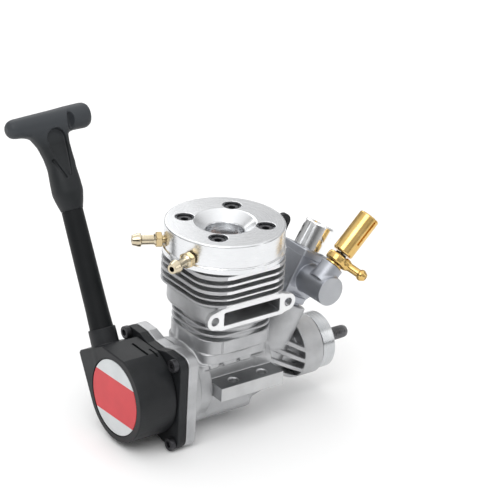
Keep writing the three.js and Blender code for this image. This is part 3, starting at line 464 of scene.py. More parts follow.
# ---- lathe pieces with exact normals
def rounded(prof, r=0.0, n=3, closed=True):
    """Segments [(p0, n0, p1, n1)] of a profile of (radius, height[, corner radius]) points, drawn so that the outside is on the right of its direction."""
    P = [np.array(p[:2], float) for p in prof]; R = [p[2] if len(p) > 2 else r for p in prof]
    N_ = len(P); out = []; ends = []
    for i in range(N_):
        a, b, c = P[i - 1], P[i], P[(i + 1) % N_]
        if (not closed and i in (0, N_ - 1)) or R[i] <= 0 or b[0] < 1e-6:
            ends.append((b, b, [])); continue
        u, v = a - b, c - b; lu, lv = np.linalg.norm(u), np.linalg.norm(v); u, v = u / lu, v / lv
        ang = math.acos(np.clip(u @ v, -1, 1)); cut_ = min(R[i] / math.tan(ang / 2), 0.45 * lu, 0.45 * lv)
        if ang > 3.05: ends.append((b, b, [])); continue
        q0, q1 = b + u * cut_, b + v * cut_
        arc = []
        for k in range(n + 1):
            t = k / n
            arc.append((1 - t) ** 2 * q0 + 2 * t * (1 - t) * b + t * t * q1)
        ends.append((q0, q1, arc))
    def nrm(a, b): d = b - a; d = d / max(np.linalg.norm(d), 1e-12); return np.array([d[1], -d[0]])
    for i in range(N_ if closed else N_ - 1):
        j = (i + 1) % N_
        a, b = ends[i][1], ends[j][0]
        if np.linalg.norm(b - a) > 1e-6: m = nrm(a, b); out.append((a, m, b, m))
        arc = ends[j][2]
        if arc and (closed or j not in (0, N_ - 1)):
            k = (j + 1) % N_
            m0, m1 = nrm(ends[i][1], ends[j][0]), nrm(ends[j][1], ends[k][0])
            for q in range(len(arc) - 1):
                t0, t1 = q / (len(arc) - 1), (q + 1) / (len(arc) - 1)
                na, nb_ = m0 * (1 - t0) + m1 * t0, m0 * (1 - t1) + m1 * t1
                out.append((arc[q], na / np.linalg.norm(na), arc[q + 1], nb_ / np.linalg.norm(nb_)))
    return out
def lathe_arrays(F, segs, seg):
    th = 2 * math.pi * np.arange(seg) / seg; c, s = np.cos(th), np.sin(th)
    pts, tris, nrms, key = [], [], [], {}
    def ring(p):
        k = (round(p[0], 5), round(p[1], 5))
        if k not in key:
            base = sum(len(x) for x in pts)
            pts.append(np.array([[0, 0, p[1]]]) if p[0] < 1e-6 else np.stack([p[0] * c, p[0] * s, np.full(seg, p[1])], 1))
            key[k] = (base, p[0] < 1e-6)
        return key[k]
    i0, i1 = np.arange(seg), (np.arange(seg) + 1) % seg
    for a, na, b, nb_ in segs:
        (ka, pa), (kb, pb) = ring(a), ring(b)
        if pa and pb: continue
        NA = lambda n, i: np.stack([n[0] * c[i], n[0] * s[i], np.full(seg, n[1])], 1)
        mid = lambda n: np.stack([n[0] * np.cos(th + math.pi / seg), n[0] * np.sin(th + math.pi / seg), np.full(seg, n[1])], 1)
        if not pa:
            if pb: tris.append(np.stack([ka + i0, ka + i1, np.full(seg, kb)], 1)); nrms.append(np.stack([NA(na, i0), NA(na, i1), mid(nb_)], 1))
            else: tris.append(np.stack([ka + i0, ka + i1, kb + i1], 1)); nrms.append(np.stack([NA(na, i0), NA(na, i1), NA(nb_, i1)], 1))
        if not pb:
            if pa: tris.append(np.stack([np.full(seg, ka), kb + i1, kb + i0], 1)); nrms.append(np.stack([mid(na), NA(nb_, i1), NA(nb_, i0)], 1))
            else: tris.append(np.stack([ka + i0, kb + i1, kb + i0], 1)); nrms.append(np.stack([NA(na, i0), NA(nb_, i1), NA(nb_, i0)], 1))
    V, T, NR = np.concatenate(pts), np.concatenate(tris), np.concatenate(nrms)
    a, b, c_ = V[T[:, 0]], V[T[:, 1]], V[T[:, 2]]
    if np.einsum("ij,ij->i", a, np.cross(b, c_)).sum() < 0:
        T, NR = T[:, ::-1], NR[:, ::-1]
    fn = np.cross(V[T[:, 1]] - V[T[:, 0]], V[T[:, 2]] - V[T[:, 0]])
    if np.einsum("ij,ij->", fn, NR.mean(1)) < 0: NR = -NR
    return world(V, F), T, (NR.reshape(-1, 3) @ F[1])
def lathe(name, F, prof, seg, body, mats, nodes=(), r=0.12, n=3, closed=None):
    on_axis = prof[0][0] == 0 and prof[-1][0] == 0
    segs = rounded(prof, r, n, closed=not on_axis)
    V, T, NR = lathe_arrays(F, segs, seg)
    me = make_mesh(name, (V + OFF) / 1000, T)
    me.polygons.foreach_set("use_smooth", np.ones(len(T), bool)); me.update()
    me.normals_split_custom_set(NR.astype(np.float32))
    return put(name, me, body, mats if isinstance(mats, (list, tuple)) else [mats], nodes)
def grid_tube(name, R, F, body, mats, nodes=()):
    """A closed skin from an array of rings, R[i, j] = local point."""
    ni, nj = R.shape[:2]
    V = R.reshape(-1, 3); q = []
    i, j = np.meshgrid(np.arange(ni - 1), np.arange(nj), indexing="ij"); i, j = i.ravel(), j.ravel(); k = (j + 1) % nj
    T = [np.stack([i * nj + j, i * nj + k, (i + 1) * nj + k], 1), np.stack([i * nj + j, (i + 1) * nj + k, (i + 1) * nj + j], 1)]
    V = np.concatenate([V, R[0].mean(0)[None], R[-1].mean(0)[None]]); c0, c1 = len(V) - 2, len(V) - 1
    j = np.arange(nj); k = (j + 1) % nj
    T += [np.stack([np.full(nj, c0), k, j], 1), np.stack([np.full(nj, c1), (ni - 1) * nj + j, (ni - 1) * nj + k], 1)]
    T = np.concatenate(T); W = world(V, F)
    if np.einsum("ij,ij->i", W[T[:, 0]], np.cross(W[T[:, 1]], W[T[:, 2]])).sum() < 0: T = T[:, ::-1]
    me = make_mesh(name, (W + OFF) / 1000, T)
    me.polygons.foreach_set("use_smooth", np.ones(len(T), bool)); me.update()
    me.set_sharp_from_angle(angle=rad(50))
    return put(name, me, body, mats, nodes)

BRIGHTFACE = metal("bright_milled", (0.78, 0.785, 0.79), (0.86, 0.865, 0.87), 0.30, 0.42, noise=900, bump=0.15, bump_mm=0.006, fine=8.0)
MILLED_TOP = metal("milled_grey", (0.20, 0.205, 0.21), (0.26, 0.265, 0.27), 0.40, 0.50, noise=900, bump=0.3, bump_mm=0.012, fine=8.0)
CARBFACE = metal("carburettor_face", (0.40, 0.41, 0.43), (0.46, 0.47, 0.49), 0.42, 0.52, noise=900, bump=0.2, bump_mm=0.01, fine=8.0)
TURNED_N = metal("turned_stack", (0.82, 0.825, 0.83), (0.90, 0.905, 0.91), 0.12, 0.2, noise=600, bump=0.1, bump_mm=0.005, fine=8.0)

# ============================================================ the object
NECK = rot_y(rad(30), (16.5, 0, 0))
HS = 1.0  # coarser skins while trying things

# ---- crankcase, one casting
def flange_outline():
    H, W, R, d, p = 18.4, 18.3, 4.0, 1.6, []
    for sy, sz, a0 in ((1, 1, 0), (-1, 1, 90), (-1, -1, 180), (1, -1, 270)):
        for i in range(9):
            t = rad(a0 + 90 * i / 8); p.append((sy * (H - R) + R * math.cos(t), sz * (W - R) + R * math.sin(t)))
            if i == 8 and a0 in (0, 180): p += [(sy * 8.5, sz * W), (sy * 3.0, sz * (W - d)), (-sy * 3.0, sz * (W - d)), (-sy * 8.5, sz * W)]
    return p
FO = flange_outline()
SCREW_YZ = [(a * 15.3, b * 15.9) for a, b in ((1, 1), (-1, 1), (-1, -1), (1, -1))]
K = Solid()
K.add(prism(AX(), poly2(FO), -26.3, -22.1, .45))
K.add(cyl(AX(), 16.4, -22.6, -18.2, e=.9), .9)
K.add(cyl(AX(), 14.6, -19.0, -12.4, e=.8), .6)
K.add(prism(AX(), rect2(10.9, 12.2, 3.8, 0, -2.2), -18.8, 8.4, 1.6), .8)
FC, BXF = cyl(AX(), 14.2, 8.0, 16.5, R1=12.4, e=.7), box(AZ(), 7, 18, -11.2, 11.2, -20, 20, .5)
K.add(custom(lambda P: rmax(FC[0](P), BXF[0](P), .8), np.maximum(FC[1], BXF[1]), np.minimum(FC[2], BXF[2])), 1.2)
K.add(prism(AZ(-1.6, 0, 0), rect2(15.2, 12.9, 3), 8.3, 10.3, .5), .9)
K.add(prism(AZ(-1.0, 0, 0), rect2(14.6, 13.6, 5), 9.8, 14.4, .8), .9)
K.add(cyl(AZ(), 13.6, 13.8, 47.8), 1.0)
K.add(prism(AZ(-.5, 0, 0), rect2(15.6, 9.0, 6), 6.5, 19.4, .8), .7)
for xa, xb in ((-13.6, -9.6), (-7.4, -1.6), (-.3, 4.6)):
    for q in (1, -1): K.add(box(AZ(), xa, xb, *sorted((q * 11.5, q * 13.9)), 8.6, 10.5, .75), .3)
K.add(cyl(AZ(), 14.9, 13.8, 26.8), .5)
for z0_, z1_ in ((14.3, 19.7), (21.2, 22.3), (23.8, 24.9)):
    K.add(prism(AZ(), rect2(15.6, 15.2, 9), z0_, z1_, .45), .35)
for q in (1, -1): K.cut(box(AZ(), -9.6, -9.0, *sorted((q * 14.5, q * 15.7)), 14.9, 19.4, .2), .15)
K.add(prism(AZ(), rect2(17.4, 17.0, 10), 26.4, 35.8, 2.6), .5)
K.add(prism(AZ(), rect2(15.4, 15.4, 8.5), 34.2, 48.2), .6)
z0 = 37.2 - .8 - .9
for gz in (37.2, 39.6, 42.6, 45.2):
    K.add(prism(AZ(), rect2(19.25, 19.25, 11), z0, gz - .8, .22), .35); z0 = gz + .8
K.add(prism(AZ(), rect2(19.25, 19.25, 11), z0, 47.7, .22), .35)
K.add(prism(AZ(), rect2(17.2, 17.2, 9), 47.0, 48.2, .1))
ex = [(16.2 + 3.3 * math.cos(rad(-90 + 15 * i)), 3.4 * math.sin(rad(-90 + 15 * i))) for i in range(13)]
ex = ex + [(13.5, 4.15), (-13.5, 4.15)] + [(-x, -y) for x, y in ex] + [(-13.5, -4.15), (13.5, -4.15)]
K.add(prism(AY(0, 0, 31.2), poly2(ex), 17.0, 19.0, .18), .6)
K.add(prism(AY(0, 0, 31.2), rect2(14.0, 3.95, 1), 9.0, 18.6, 0), 1.0)
for s in (1, -1):
    K.add(box(AZ(), -12, 15.9, *((8.5, 19.3) if s > 0 else (-19.3, -8.5)), -2.3, 3.04, .2), .7)
K.add(cyl(NECK, 9.6, 3.0, 24.8, R1=9.0, e=.45), 1.2)
K.add(box(NECK, -4.9, 4.9, 6.5, 10.4, 19.6, 24.8, .5), .4)
K.add(cyl(AX(), 7.2, 14.0, 40.0), .5)
K.add(cyl(AX(), 11.7, 32.1, 40.7, e=.4), .5)
for c in (3.5, -.9, -5.5, -9.7):
    F = rot_y(rad(30), (32.1, 0, c)); S = box(F, -30, 30, -13, 13, -.75, .75, .1); C = cyl(AX(), 11.5, 14.5, 32.5)
    K.add(custom(lambda P, S=S, C=C: rmax(S[0](P), C[0](P), .25), np.maximum(S[1], C[1]), np.minimum(S[2], C[2])), .4)
# openings
K.cut(cyl(AX(), 9.8, -13.6, 12.8)); K.cut(cyl(AX(), 12.6, -27.5, -13.4))
K.cut(prism(AX(), rect2(9.8, 12.2, 4.4, 0, 1.0), -3.1, 2.8))
K.cut(cyl(AX(), 9.6, 12.4, 17.8)); K.cut(cyl(AX(), 5.4, 16, 46)); K.cut(cyl(AX(), 6.6, 35.8, 42))
K.cut(cyl(AZ(), 10.4, 11.6, 60)); K.cut(cyl(AZ(), 11.9, 46.4, 60))
for s in (1, -1): K.cut(box(AZ(), s * 11.2 - 1.6, s * 11.2 + 1.6, -4.5, 4.5, 11.4, 31.0, .5))
K.cut(prism(AY(0, 0, 31.2), rect2(12.3, 2.5, .5), 7, 20), .12)
for s in (1, -1): K.cut(cyl(AY(s * 16.2, 0, 31.2), 1.6, 13.5, 20), .15)
for x in (-4.0, 8.9):
    for s in (1, -1): K.cut(cyl(AZ(x, s * 15.2, 0), 1.75, -4, 5), .1); K.cut(cyl(AZ(x, s * 15.2, 0), 1.7, 2.5, 3.3, R1=2.5))
for y, z in SCREW_YZ: K.cut(cyl(AX(0, y, z), 1.35, -28, -20.8))
for a, b in ((1, 1), (-1, 1), (-1, -1), (1, -1)): K.cut(cyl(AZ(a * 10.5, b * 10.5, 0), 1.55, 37.2, 60))
K.cut(cyl(NECK, 6.4, 12.2, 27)); K.cut(cyl(NECK, 4.4, 4.6, 13.5))
K.cut(box(NECK, -.5, .5, 5.5, 12, 17.5, 26, .1), .1)
CLAMP = inner(NECK, (0, 8.4, 22.3), [[0, 1, 0], [0, 0, 1], [1, 0, 0]])
K.cut(cyl(CLAMP, 1.3, -12, 12)); K.cut(cyl(CLAMP, 2.2, -10.9, -4.9), .1)
def case_faces(c, n):
    m = np.zeros(len(c), int)
    m[(c[:, 1] < -18.75) & (n[:, 1] < -.8) & (c[:, 2] > 20)] = 1          # exhaust face, milled
    m[(np.abs(c[:, 1]) > 19.1) & (np.abs(n[:, 1]) > .8) & (c[:, 2] < 5)] = 2  # ends of the lugs
    m[(c[:, 2] > 2.9) & (c[:, 2] < 3.2) & (n[:, 2] > .8) & (np.abs(c[:, 1]) > 11)] = 3
    m[(c[:, 2] < -2.2) & (c[:, 2] > -2.4) & (n[:, 2] < -.8)] = 2
    return m
sdf_piece("crankcase_casting", K, .30 * HS, "root", [CAST, BRIGHTFACE, MILLED, MILLED_TOP], ["crankcase"], faces=120000, pick=case_faces)

# ---- cooling head
H = Solid()
H.add(turned(AZ(), [(6.9, 50.7), (12.4, 50.7), (12.4, 48.5), (22.4, 48.5), (22.5, 48.65), (22.5, 50.5), (22.4, 50.65), (22.15, 50.8), (22.05, 51.0), (22.05, 58.9), (21.98, 59.15), (21.8, 59.35), (21.5, 59.5), (11.5, 59.5), (11.2, 59.35), (10.9, 59.15), (7.25, 56.25), (7.0, 55.95), (6.9, 55.6)]))
for a, b in ((1, 1), (-1, 1), (-1, -1), (1, -1)):
    H.cut(cyl(AZ(a * 10.5, b * 10.5, 0), 1.55, 47, 61)); H.cut(cyl(AZ(a * 10.5, b * 10.5, 0), 3.45, 56.3, 62), .2)
H.cut(turned(AZ(), [(17.0, 47), (18.8, 47), (18.8, 55.5), (17.0, 55.5)]))
for d in (153.5, 201.5):
    a = rad(d); F = (np.array([0, 0, 52.8]), np.array([[-math.sin(a), math.cos(a), 0], [0, 0, 1], [math.cos(a), math.sin(a), 0]]))
    H.cut(cyl(F, 1.75, 18.2, 24))
sdf_piece("water_head", H, .26 * HS, "root", [TURNED_Z], ["cooling_head"], faces=60000)

# ---- hex socket cap screws
def cap_screw(name, F0, z_head0, z_head1, r_head, z_end, r_shank, hexr, depth, moves, mat):
    S = Solid()
    S.add(cyl(F0, r_head, z_head0, z_head1, e=.25)); S.add(cyl(F0, r_shank, z_end, z_head0 + .5, e=.2))
    hexa = [(hexr * math.cos(rad(60 * i)), hexr * math.sin(rad(60 * i))) for i in range(6)]
    S.cut(prism(F0, poly2(hexa), z_head1 - depth, z_head1 + 2), .1)
    return sdf_piece(name, S, .17 * HS, "root", [mat], (), faces=5000, moves=moves)
cap_screw("head_screw", AZ(), 56.4, 58.6, 2.75, 38.2, 1.3, 1.45, 1.5,
          [((np.array([a * 10.5, b * 10.5, 0.]), np.eye(3)), f"cap_screw_{i + 1}", [f"head_screw_{i + 1}"]) for i, (a, b) in enumerate(((1, 1), (-1, 1), (-1, -1), (1, -1)))], OXIDE)
XR = (np.array([0., 0., 0.]), np.array([[0, 1, 0], [0, 0, -1], [-1, 0, 0]], float))  # built along -X
cap_screw("flange_screw", XR, 29.95, 32.0, 2.4, 22.6, 1.15, 1.3, 1.2,
          [((np.array([0., y, z]), np.eye(3)), f"cover_screw_{i + 1}", [f"starter_screw_{i + 1}"]) for i, (y, z) in enumerate(SCREW_YZ)], OXIDE)

# ---- water nipples
for i, d in enumerate((153.5, 201.5)):
    a = rad(d); F = (np.array([0, 0, 52.8]), np.array([[-math.sin(a), math.cos(a), 0], [0, 0, 1], [math.cos(a), math.sin(a), 0]]))
    S = Solid()
    hexa = [(3.1 * math.cos(rad(60 * k + 30)), 3.1 * math.sin(rad(60 * k + 30))) for k in range(6)]
    S.add(prism(F, poly2(hexa), 22.8, 25.0, .2))
    S.both(custom(lambda P, F=F: (lambda L: np.maximum(np.hypot(L[:, 0], L[:, 1]) - 3.05 + np.maximum(np.abs(L[:, 2] - 23.9) - .75, 0) * 1.2, -9))(loc(P, F)), (-99,) * 3, (99,) * 3), .1)
    S.add(cyl(F, 1.5, 18.9, 23.2)); S.add(turned(F, [(0, 24.8), (2.35, 24.8), (2.3, 25.2), (1.75, 25.8), (1.75, 30.1), (2.1, 30.25), (2.5, 30.5), (2.55, 30.85), (2.5, 31.3), (1.85, 33.5), (1.7, 33.7), (0, 33.7)]), .2)
    S.cut(cyl(F, .95, 18, 40), .1)
    def nip_faces(c, n, F=F):
        L = loc(c, F); return np.where(L[:, 2] < 25.1, 1, 0)
    sdf_piece(f"hose_nipple_{i + 1}", S, .16 * HS, "root", [PALEBR, HEXBR], [f"water_nipple_{i + 1}"], faces=7000, pick=nip_faces)

# ---- drive hub, shaft end
lathe("drive_hub_turned", AX(), [(4.35, 41.0), (9.9, 40.95), (10.9, 41.4, .2), (10.9, 46.6, .3), (10.4, 47.1, .3), (6.2, 47.1, .2), (5.9, 46.6, .1), (5.35, 46.6, .1), (5.25, 46.4)], 128, "crank_group", TURNED_X, ["drive_hub"], r=.1)
C = Solid()
C.add(cyl(AX(), 9.4, 4.4, 10.8, e=.4)); C.add(cyl(AX(0, 0, 6), 2.0, 2.85, 4.6, e=.15))
for s in (1, -1): C.cut(box(AZ(), 2, 11.3, *((3.6, 12) if s > 0 else (-12, -3.6)), .5, 12, .4), .2)
C.add(turned(AX(), [(0, 10.6), (6.2, 10.6), (6.2, 12.3), (5.0, 12.5), (5.0, 35.6), (3.45, 35.8), (3.45, 43.9), (2.1, 44.4), (2.1, 46.0), (0, 46.0)]), .1)
C.cut(cyl(AX(), 3.2, 3.5, 24.9)); C.cut(box(AZ(), 16.5, 23.5, -2.6, 2.6, 3.0, 6))
sdf_piece("crankshaft_body", C, .34 * HS, "crank_group", [STEEL], ["crankshaft"], faces=16000)
def thread_rings(x0, x1, r, pitch, depth, seg=72, per=16):
    n = int((x1 - x0) / pitch * per); R = np.zeros((n + 3, seg, 3)); th = 2 * math.pi * np.arange(seg) / seg
    for i in range(n + 3):
        x = x0 + (x1 - x0) * min(max(i - 1, 0), n) / n
        ph = (x / pitch - th / (2 * math.pi)) % 1
        tri = np.clip(np.abs(ph - .5) * 2 * 1.25 - .12, 0, 1)
        fade = np.clip((x1 - 1.3 - x) / .8, 0, 1) * np.clip((x - x0 - .3) / .8, 0, 1)
        end = np.clip((x - (x1 - 1.5)) / 1.5, 0, 1)
        rr = (r - depth * (tri * fade + (1 - fade) * .35)) * (1 - (1 - math.sqrt(max(0, 1 - (end * .92) ** 2))) * .9)
        if i in (0, n + 2): rr = rr * .02
        R[i, :, 0] = rr * np.cos(th); R[i, :, 1] = rr * np.sin(th); R[i, :, 2] = x
    return R
grid_tube("shaft_thread", thread_rings(44.0, 60.3, 2.5, .8, .42), AX(), "crank_group", [STEEL])

# ---- starter: base plate, housing, sticker
B = Solid()
B.add(prism(AX(), poly2(FO), -29.9, -26.6, .4)); B.cut(cyl(AX(), 5.2, -31, -25))
for y, z in SCREW_YZ: B.cut(cyl(AX(0, y, z), 1.6, -31, -25))
sdf_piece("cover_base", B, .36 * HS, "root", [BLACK], ["starter_base_plate"], faces=12000)
def shell(off):
    R, cy, cz, top, slant, sn, cn = 17.2 - off, -.2, .3, 16.8 - off, 19.0 - off, math.sin(rad(29)), math.cos(rad(29))
    cor, sh = (24.0 - off * 1.25, 7.6 - off * .35), 23.3 - off * 1.25
    pc = (cor[0] - cy, cor[1] - cz); d = math.hypot(*pc); base = math.atan2(pc[1], pc[0]); half = math.acos(R / d)
    a0, a1 = math.pi - math.asin((top - cz) / R), base - half + 2 * math.pi
    p = [(cy + R * math.cos(a0 + (a1 - a0) * i / 64), cz + R * math.sin(a0 + (a1 - a0) * i / 64)) for i in range(65)]
    return p + [cor, (sh, (slant - sh * sn) / cn), ((slant - top * cn) / sn, top)]
CT = rad(29); CDIR = np.array([0, math.sin(CT), math.cos(CT)])
CORDF = (np.array([-40.2, 15.4, 14.5]), np.array([[1, 0, 0], [0, CDIR[2], -CDIR[1]], CDIR]))
G = Solid()
G.add(prism(AX(), poly2(shell(0)), -45.7, -30.2, .45))
G.add(cyl(CORDF, 5.35, -10.5, 5.0, R1=5.05, e=.35), .7)
G.cut(cyl(AX(), 14.55, -46, -45.2), .12)
G.cut(prism(AX(), poly2(shell(1.9)), -44.0, -29.5)); G.cut(cyl(CORDF, 1.9, -12, 4)); G.cut(cyl(CORDF, 4.55, -1.5, 7), .1)
for y, z in SCREW_YZ: G.cut(cyl(AX(0, y, z), 3.0, -33.5, -29), .15)
G.cut(box(AZ(), -35.4, -34.6, -4.8, 5.2, 15.6, 20, .1), .1); G.cut(box(AZ(), -32.4, -31.7, -7.0, -1.5, 15.6, 20, .1), .1)
sdf_piece("starter_cover", G, .30 * HS, "root", [BLACK], ["starter_housing"], faces=50000)
lathe("round_label", AX(), [(0, -45.55), (14.2, -45.55), (14.2, -45.25), (0, -45.25)], 128, "root", [STICKER], ["starter_sticker"], r=.06)
lathe("cord_tube", CORDF, [(2.5, -1.3), (4.3, -1.3), (4.45, 2.6, .3), (4.35, 6.0, 1), (4.2, 12.0, 3), (4.0, 49.0, .15), (3.05, 49.0, .1), (3.05, 42.0), (2.5, 41.0)], 96, "root", [TUBEM], ["cord_guide_tube"], r=.1)

# ---- pull grip
ST = np.array([[49.3, 4.05, 4.05, 2.1], [51.5, 4.8, 4.7, 2.1], [55.5, 5.7, 5.4, 2.2], [60, 5.5, 5.1, 2.3], [64.5, 5.2, 4.5, 2.4], [69, 5.6, 3.9, 2.8], [73.5, 6.6, 3.5, 3.2], [77, 8.4, 3.3, 3.2], [79.5, 11, 3.2, 3.2], [82, 12.5, 3.0, 3.2]])
def stem(P):
    L = loc(P, CORDF); s = np.clip(L[:, 2], 49.3, 82); cx = np.interp(s, [66, 69, 73.5, 77, 79.5, 82], [0, -.3, -1.0, -1.8, -2.4, -2.8])
    S_ = np.linspace(49.3, 82, 200); tab = [np.convolve(np.pad(np.interp(S_, ST[:, 0], ST[:, k]), 9, mode="edge"), np.hanning(21)[1:-1] / np.hanning(21).sum(), "valid") for k in (1, 2, 3)]
    a, b, e = (np.interp(s, S_, t) for t in tab)
    a = a + cx * .55
    rho = (np.abs((L[:, 0] - cx) / a) ** e + np.abs(L[:, 1] / b) ** e + 1e-9) ** (1 / e)
    return rmax((rho - 1) * np.minimum(a, b) * .93, np.abs(L[:, 2] - 65.53) - 16.47, .15)
T = Solid()
T.add((stem, *bb(CORDF, (-13, -6, 49.3), (13, 6, 82))))
BARF = inner(CORDF, (0, 0, 82.0), [[0, 1, 0], [0, 0, 1], [1, 0, 0]])
bp = np.array([(0, -18.3), (1.2, -18.25), (2.2, -17.9), (3.0, -17.1), (3.4, -16.2), (3.6, -15.0), (3.9, -8.0), (4.2, 0), (4.6, 7.0), (4.75, 13.0), (4.6, 14.2), (4.1, 15.1), (3.2, 15.55), (2.2, 15.7), (0, 15.7)])
T.add(turned(BARF, bp), 1.6)
T.add(cyl(CORDF, 2.6, 43.2, 50, R1=2.75), .1)
# a hollow panel on each side of the web, a notch beside it under the longer arm, and two creases where the panel runs out
for q in (1, -1):
    def panel(P, q=q):
        L = loc(P, CORDF); t_ = np.clip(L[:, 2], 62.0, 75.4); w_ = np.interp(t_, [62, 66, 71, 75.4], [.7, 2.0, 3.2, 3.9]); m_ = np.interp(t_, [62, 66, 75.4], [.5, 0, -.6])
        side = np.interp(L[:, 2], [60, 64.5, 69, 73.5, 78], [4.3, 3.5, 2.5, 1.7, 1.3])
        return rmax(np.hypot(L[:, 0] - m_, L[:, 2] - t_) - w_, side - q * L[:, 1], .6)
    T.cut((panel, *bb(CORDF, (-5.5, -7, 60), (5.0, 7, 80))), .45)
    T.cut(custom(lambda P, q=q: (lambda L: (np.sqrt(((L[:, 0] - 6.3) / 1.45) ** 2 + ((q * L[:, 1] - 4.7) / 3.1) ** 2 + ((L[:, 2] - 80.4) / 3.9) ** 2) - 1) * 1.45)(loc(P, CORDF)), *bb(CORDF, (4.0, -8.5, 75.5), (8.5, 8.5, 85))), .5)
# a slanting crease that follows the surface beside the panel
def crease(P):
    L = loc(P, CORDF); dx, dz = 2.6, -6.8; t_ = np.clip(((L[:, 0] + 4.1) * dx + (L[:, 2] - 67.8) * dz) / (dx * dx + dz * dz), 0, 1)
    return rmax(np.hypot(L[:, 0] + 4.1 - t_ * dx, L[:, 2] - 67.8 - t_ * dz) - (.5 - .15 * t_), -(stem(P) + .6), .2)
T.cut((crease, *bb(CORDF, (-5.5, -7, 59.5), (0, 7, 69))), .3)
T.cut(cyl(CORDF, 1.1, 42, 62))
sdf_piece("pull_handle", T, .32 * HS, "grip_group", [GRIPM], ["pull_grip"], faces=40000)

# ---- carburettor
CB = Solid()
def turned_frame(a): return inner(NECK, (0, 0, 0), [[math.cos(a), math.sin(a), 0], [-math.sin(a), math.cos(a), 0], [0, 0, 1]])
CF = turned_frame(rad(-3))
def taper(P):
    L = loc(P, CF); t = np.clip((L[:, 2] - 27.4) / 3.6, -.2, 1.0); a, b, r = 5.4 + 1.6 * t, 5.4 + 1.4 * t, .7
    qx, qy = np.abs(L[:, 0]) - a + r, np.abs(L[:, 1]) - b + r
    d = np.hypot(np.maximum(qx, 0), np.maximum(qy, 0)) + np.minimum(np.maximum(qx, qy), 0) - r
    return rmax(d * .92, np.abs(L[:, 2] - 35.3) - 7.9, .3)
CB.add(cyl(NECK, 6.1, 13, 26)); CB.add(cyl(NECK, 7.6, 25.7, 28.3, e=.4), .3)
CB.add((taper, *bb(CF, (-7.4, -7, 27.4), (7.4, 7, 43.2))), .5)
CB.add(prism(CF, rect2(7.4, 7.2, .8), 42.8, 45.6, .35), .0)
BARREL = inner(NECK, (0, 0, 36.15), [[1, 0, 0], [0, 0, 1], [0, -1, 0]])
CB.add(cyl(BARREL, 5.6, -9.5, 20.5, e=.3), .35)
NBF = rot_y(rad(45), (16.5 + 36.15 * math.sin(rad(30)) - .9, -15.2, 36.15 * math.cos(rad(30)) + 2.4))
CB.add(cyl(NBF, 4.4, 0, 7.4, e=.3), .8)
CB.cut(cyl(NECK, 4.0, 12, 52)); CB.cut(cyl(NECK, 5.3, 42.5, 48)); CB.cut(cyl(BARREL, 4.5, -10, 17.5)); CB.cut(cyl(NBF, 1.6, 0, 10))
CB.cut(cyl(inner(NECK, (0, 4.2, 33.2), [[0, 1, 0], [0, 0, 1], [1, 0, 0]]), 1.1, 4.6, 16.6))
def carb_faces(c, n):
    L = loc(c, BARREL); return np.where((L[:, 2] > 20.3) & (n[:, 1] < -.85), 1, 0)
sdf_piece("carburettor_casting", CB, .24 * HS, "root", [CARBC, CARBFACE], ["carburettor_body"], faces=50000, pick=carb_faces)
lathe("intake_stack", NECK, [(4.1, 42.8), (5.2, 42.8), (5.2, 45.9), (6.1, 45.9, .2), (6.1, 55.4, .25), (5.75, 55.9, .15), (5.0, 55.9, .15), (4.1, 52.0, 1.5)], 96, "root", [TURNED_N], ["intake_throat"], r=.1)
AR = Solid()
ang = math.atan2(2.95, 14.55); Ln = math.hypot(2.95, 14.55)
AF = (np.array([34.575, 0, 31.307]), np.array([[math.cos(ang), 0, -math.sin(ang)], [math.sin(ang), 0, math.cos(ang)], [0, -1, 0]]))
arm = [(3.8 * math.cos(rad(180 + 15 * i)), 3.8 * math.sin(rad(180 + 15 * i))) for i in range(13)] + [(1.9, 6.0), (1.6, 9.5)] + [(2.9 * math.cos(rad(15 * i)), Ln + 2.9 * math.sin(rad(15 * i))) for i in range(-2, 15)] + [(-1.6, 9.5), (-1.9, 6.0)]
AR.add(prism(AF, poly2(arm), -15.3, -13.1, .3)); AR.cut(cyl(AF, 1.0, -17, -12), .1)
AR.cut(cyl(inner(AF, (0, Ln, 0), np.eye(3)), .8, -17, -12), .1)
sdf_piece("throttle_lever", AR, .22 * HS, "throttle_group", [BLACK], ["throttle_arm"], faces=6000)

# ---- main needle, banjo and seat
def nb_dir():
    d = np.array([.394, -.85, -.355]); return d / np.linalg.norm(d)
NO = NBF[0]; NAX = NBF[1][2]; d = nb_dir(); u = np.cross([0, 0, 1.], d); u /= np.linalg.norm(u)
NIPF = (NO + NAX * 10.3, np.array([u, np.cross(d, u), d]))
BJ = Solid()
BJ.add(turned(NBF, [(2.0, 8.6), (3.7, 8.6), (4.1, 8.85), (4.3, 9.3), (4.35, 10.3), (4.3, 11.3), (4.1, 11.75), (3.7, 12.0), (2.0, 12.0)]))
BJ.add(turned(NIPF, [(0, 3.0), (2.3, 3.0), (2.2, 4.4), (1.7, 5.4), (1.6, 6.0), (1.6, 9.7), (1.95, 9.95), (2.15, 10.4), (2.2, 10.9), (2.1, 11.4), (1.4, 12.6), (1.2, 12.8), (0, 12.8)]), .8)
BJ.cut(cyl(NIPF, .75, 0, 14), .08); BJ.cut(cyl(NBF, 2.0, 7, 13))
sdf_piece("fuel_elbow", BJ, .17 * HS, "root", [BRASS], ["fuel_banjo"], faces=14000)
KN = Solid()
KN.add(turned(NBF, [(0, 5.0), (.3, 6.6), (.55, 9.0), (.6, 13.1), (3.5, 13.1), (3.9, 13.3), (4.1, 13.7), (4.1, 29.6), (4.0, 29.9), (3.75, 30.15), (3.5, 30.2), (2.5, 30.2), (2.4, 30.1), (2.4, 29.1), (0, 29.1)]))
KN.cut(box(NBF, -.48, .48, -4.8, -3.0, 18.5, 31.5, .2), .08)
KN.cut(box(NBF, -.5, .5, -4.8, 4.8, 29.4, 31.5), .06)
sdf_piece("needle_knob", KN, .19 * HS, "needle_group", [BRASS], ["main_needle"], faces=16000)
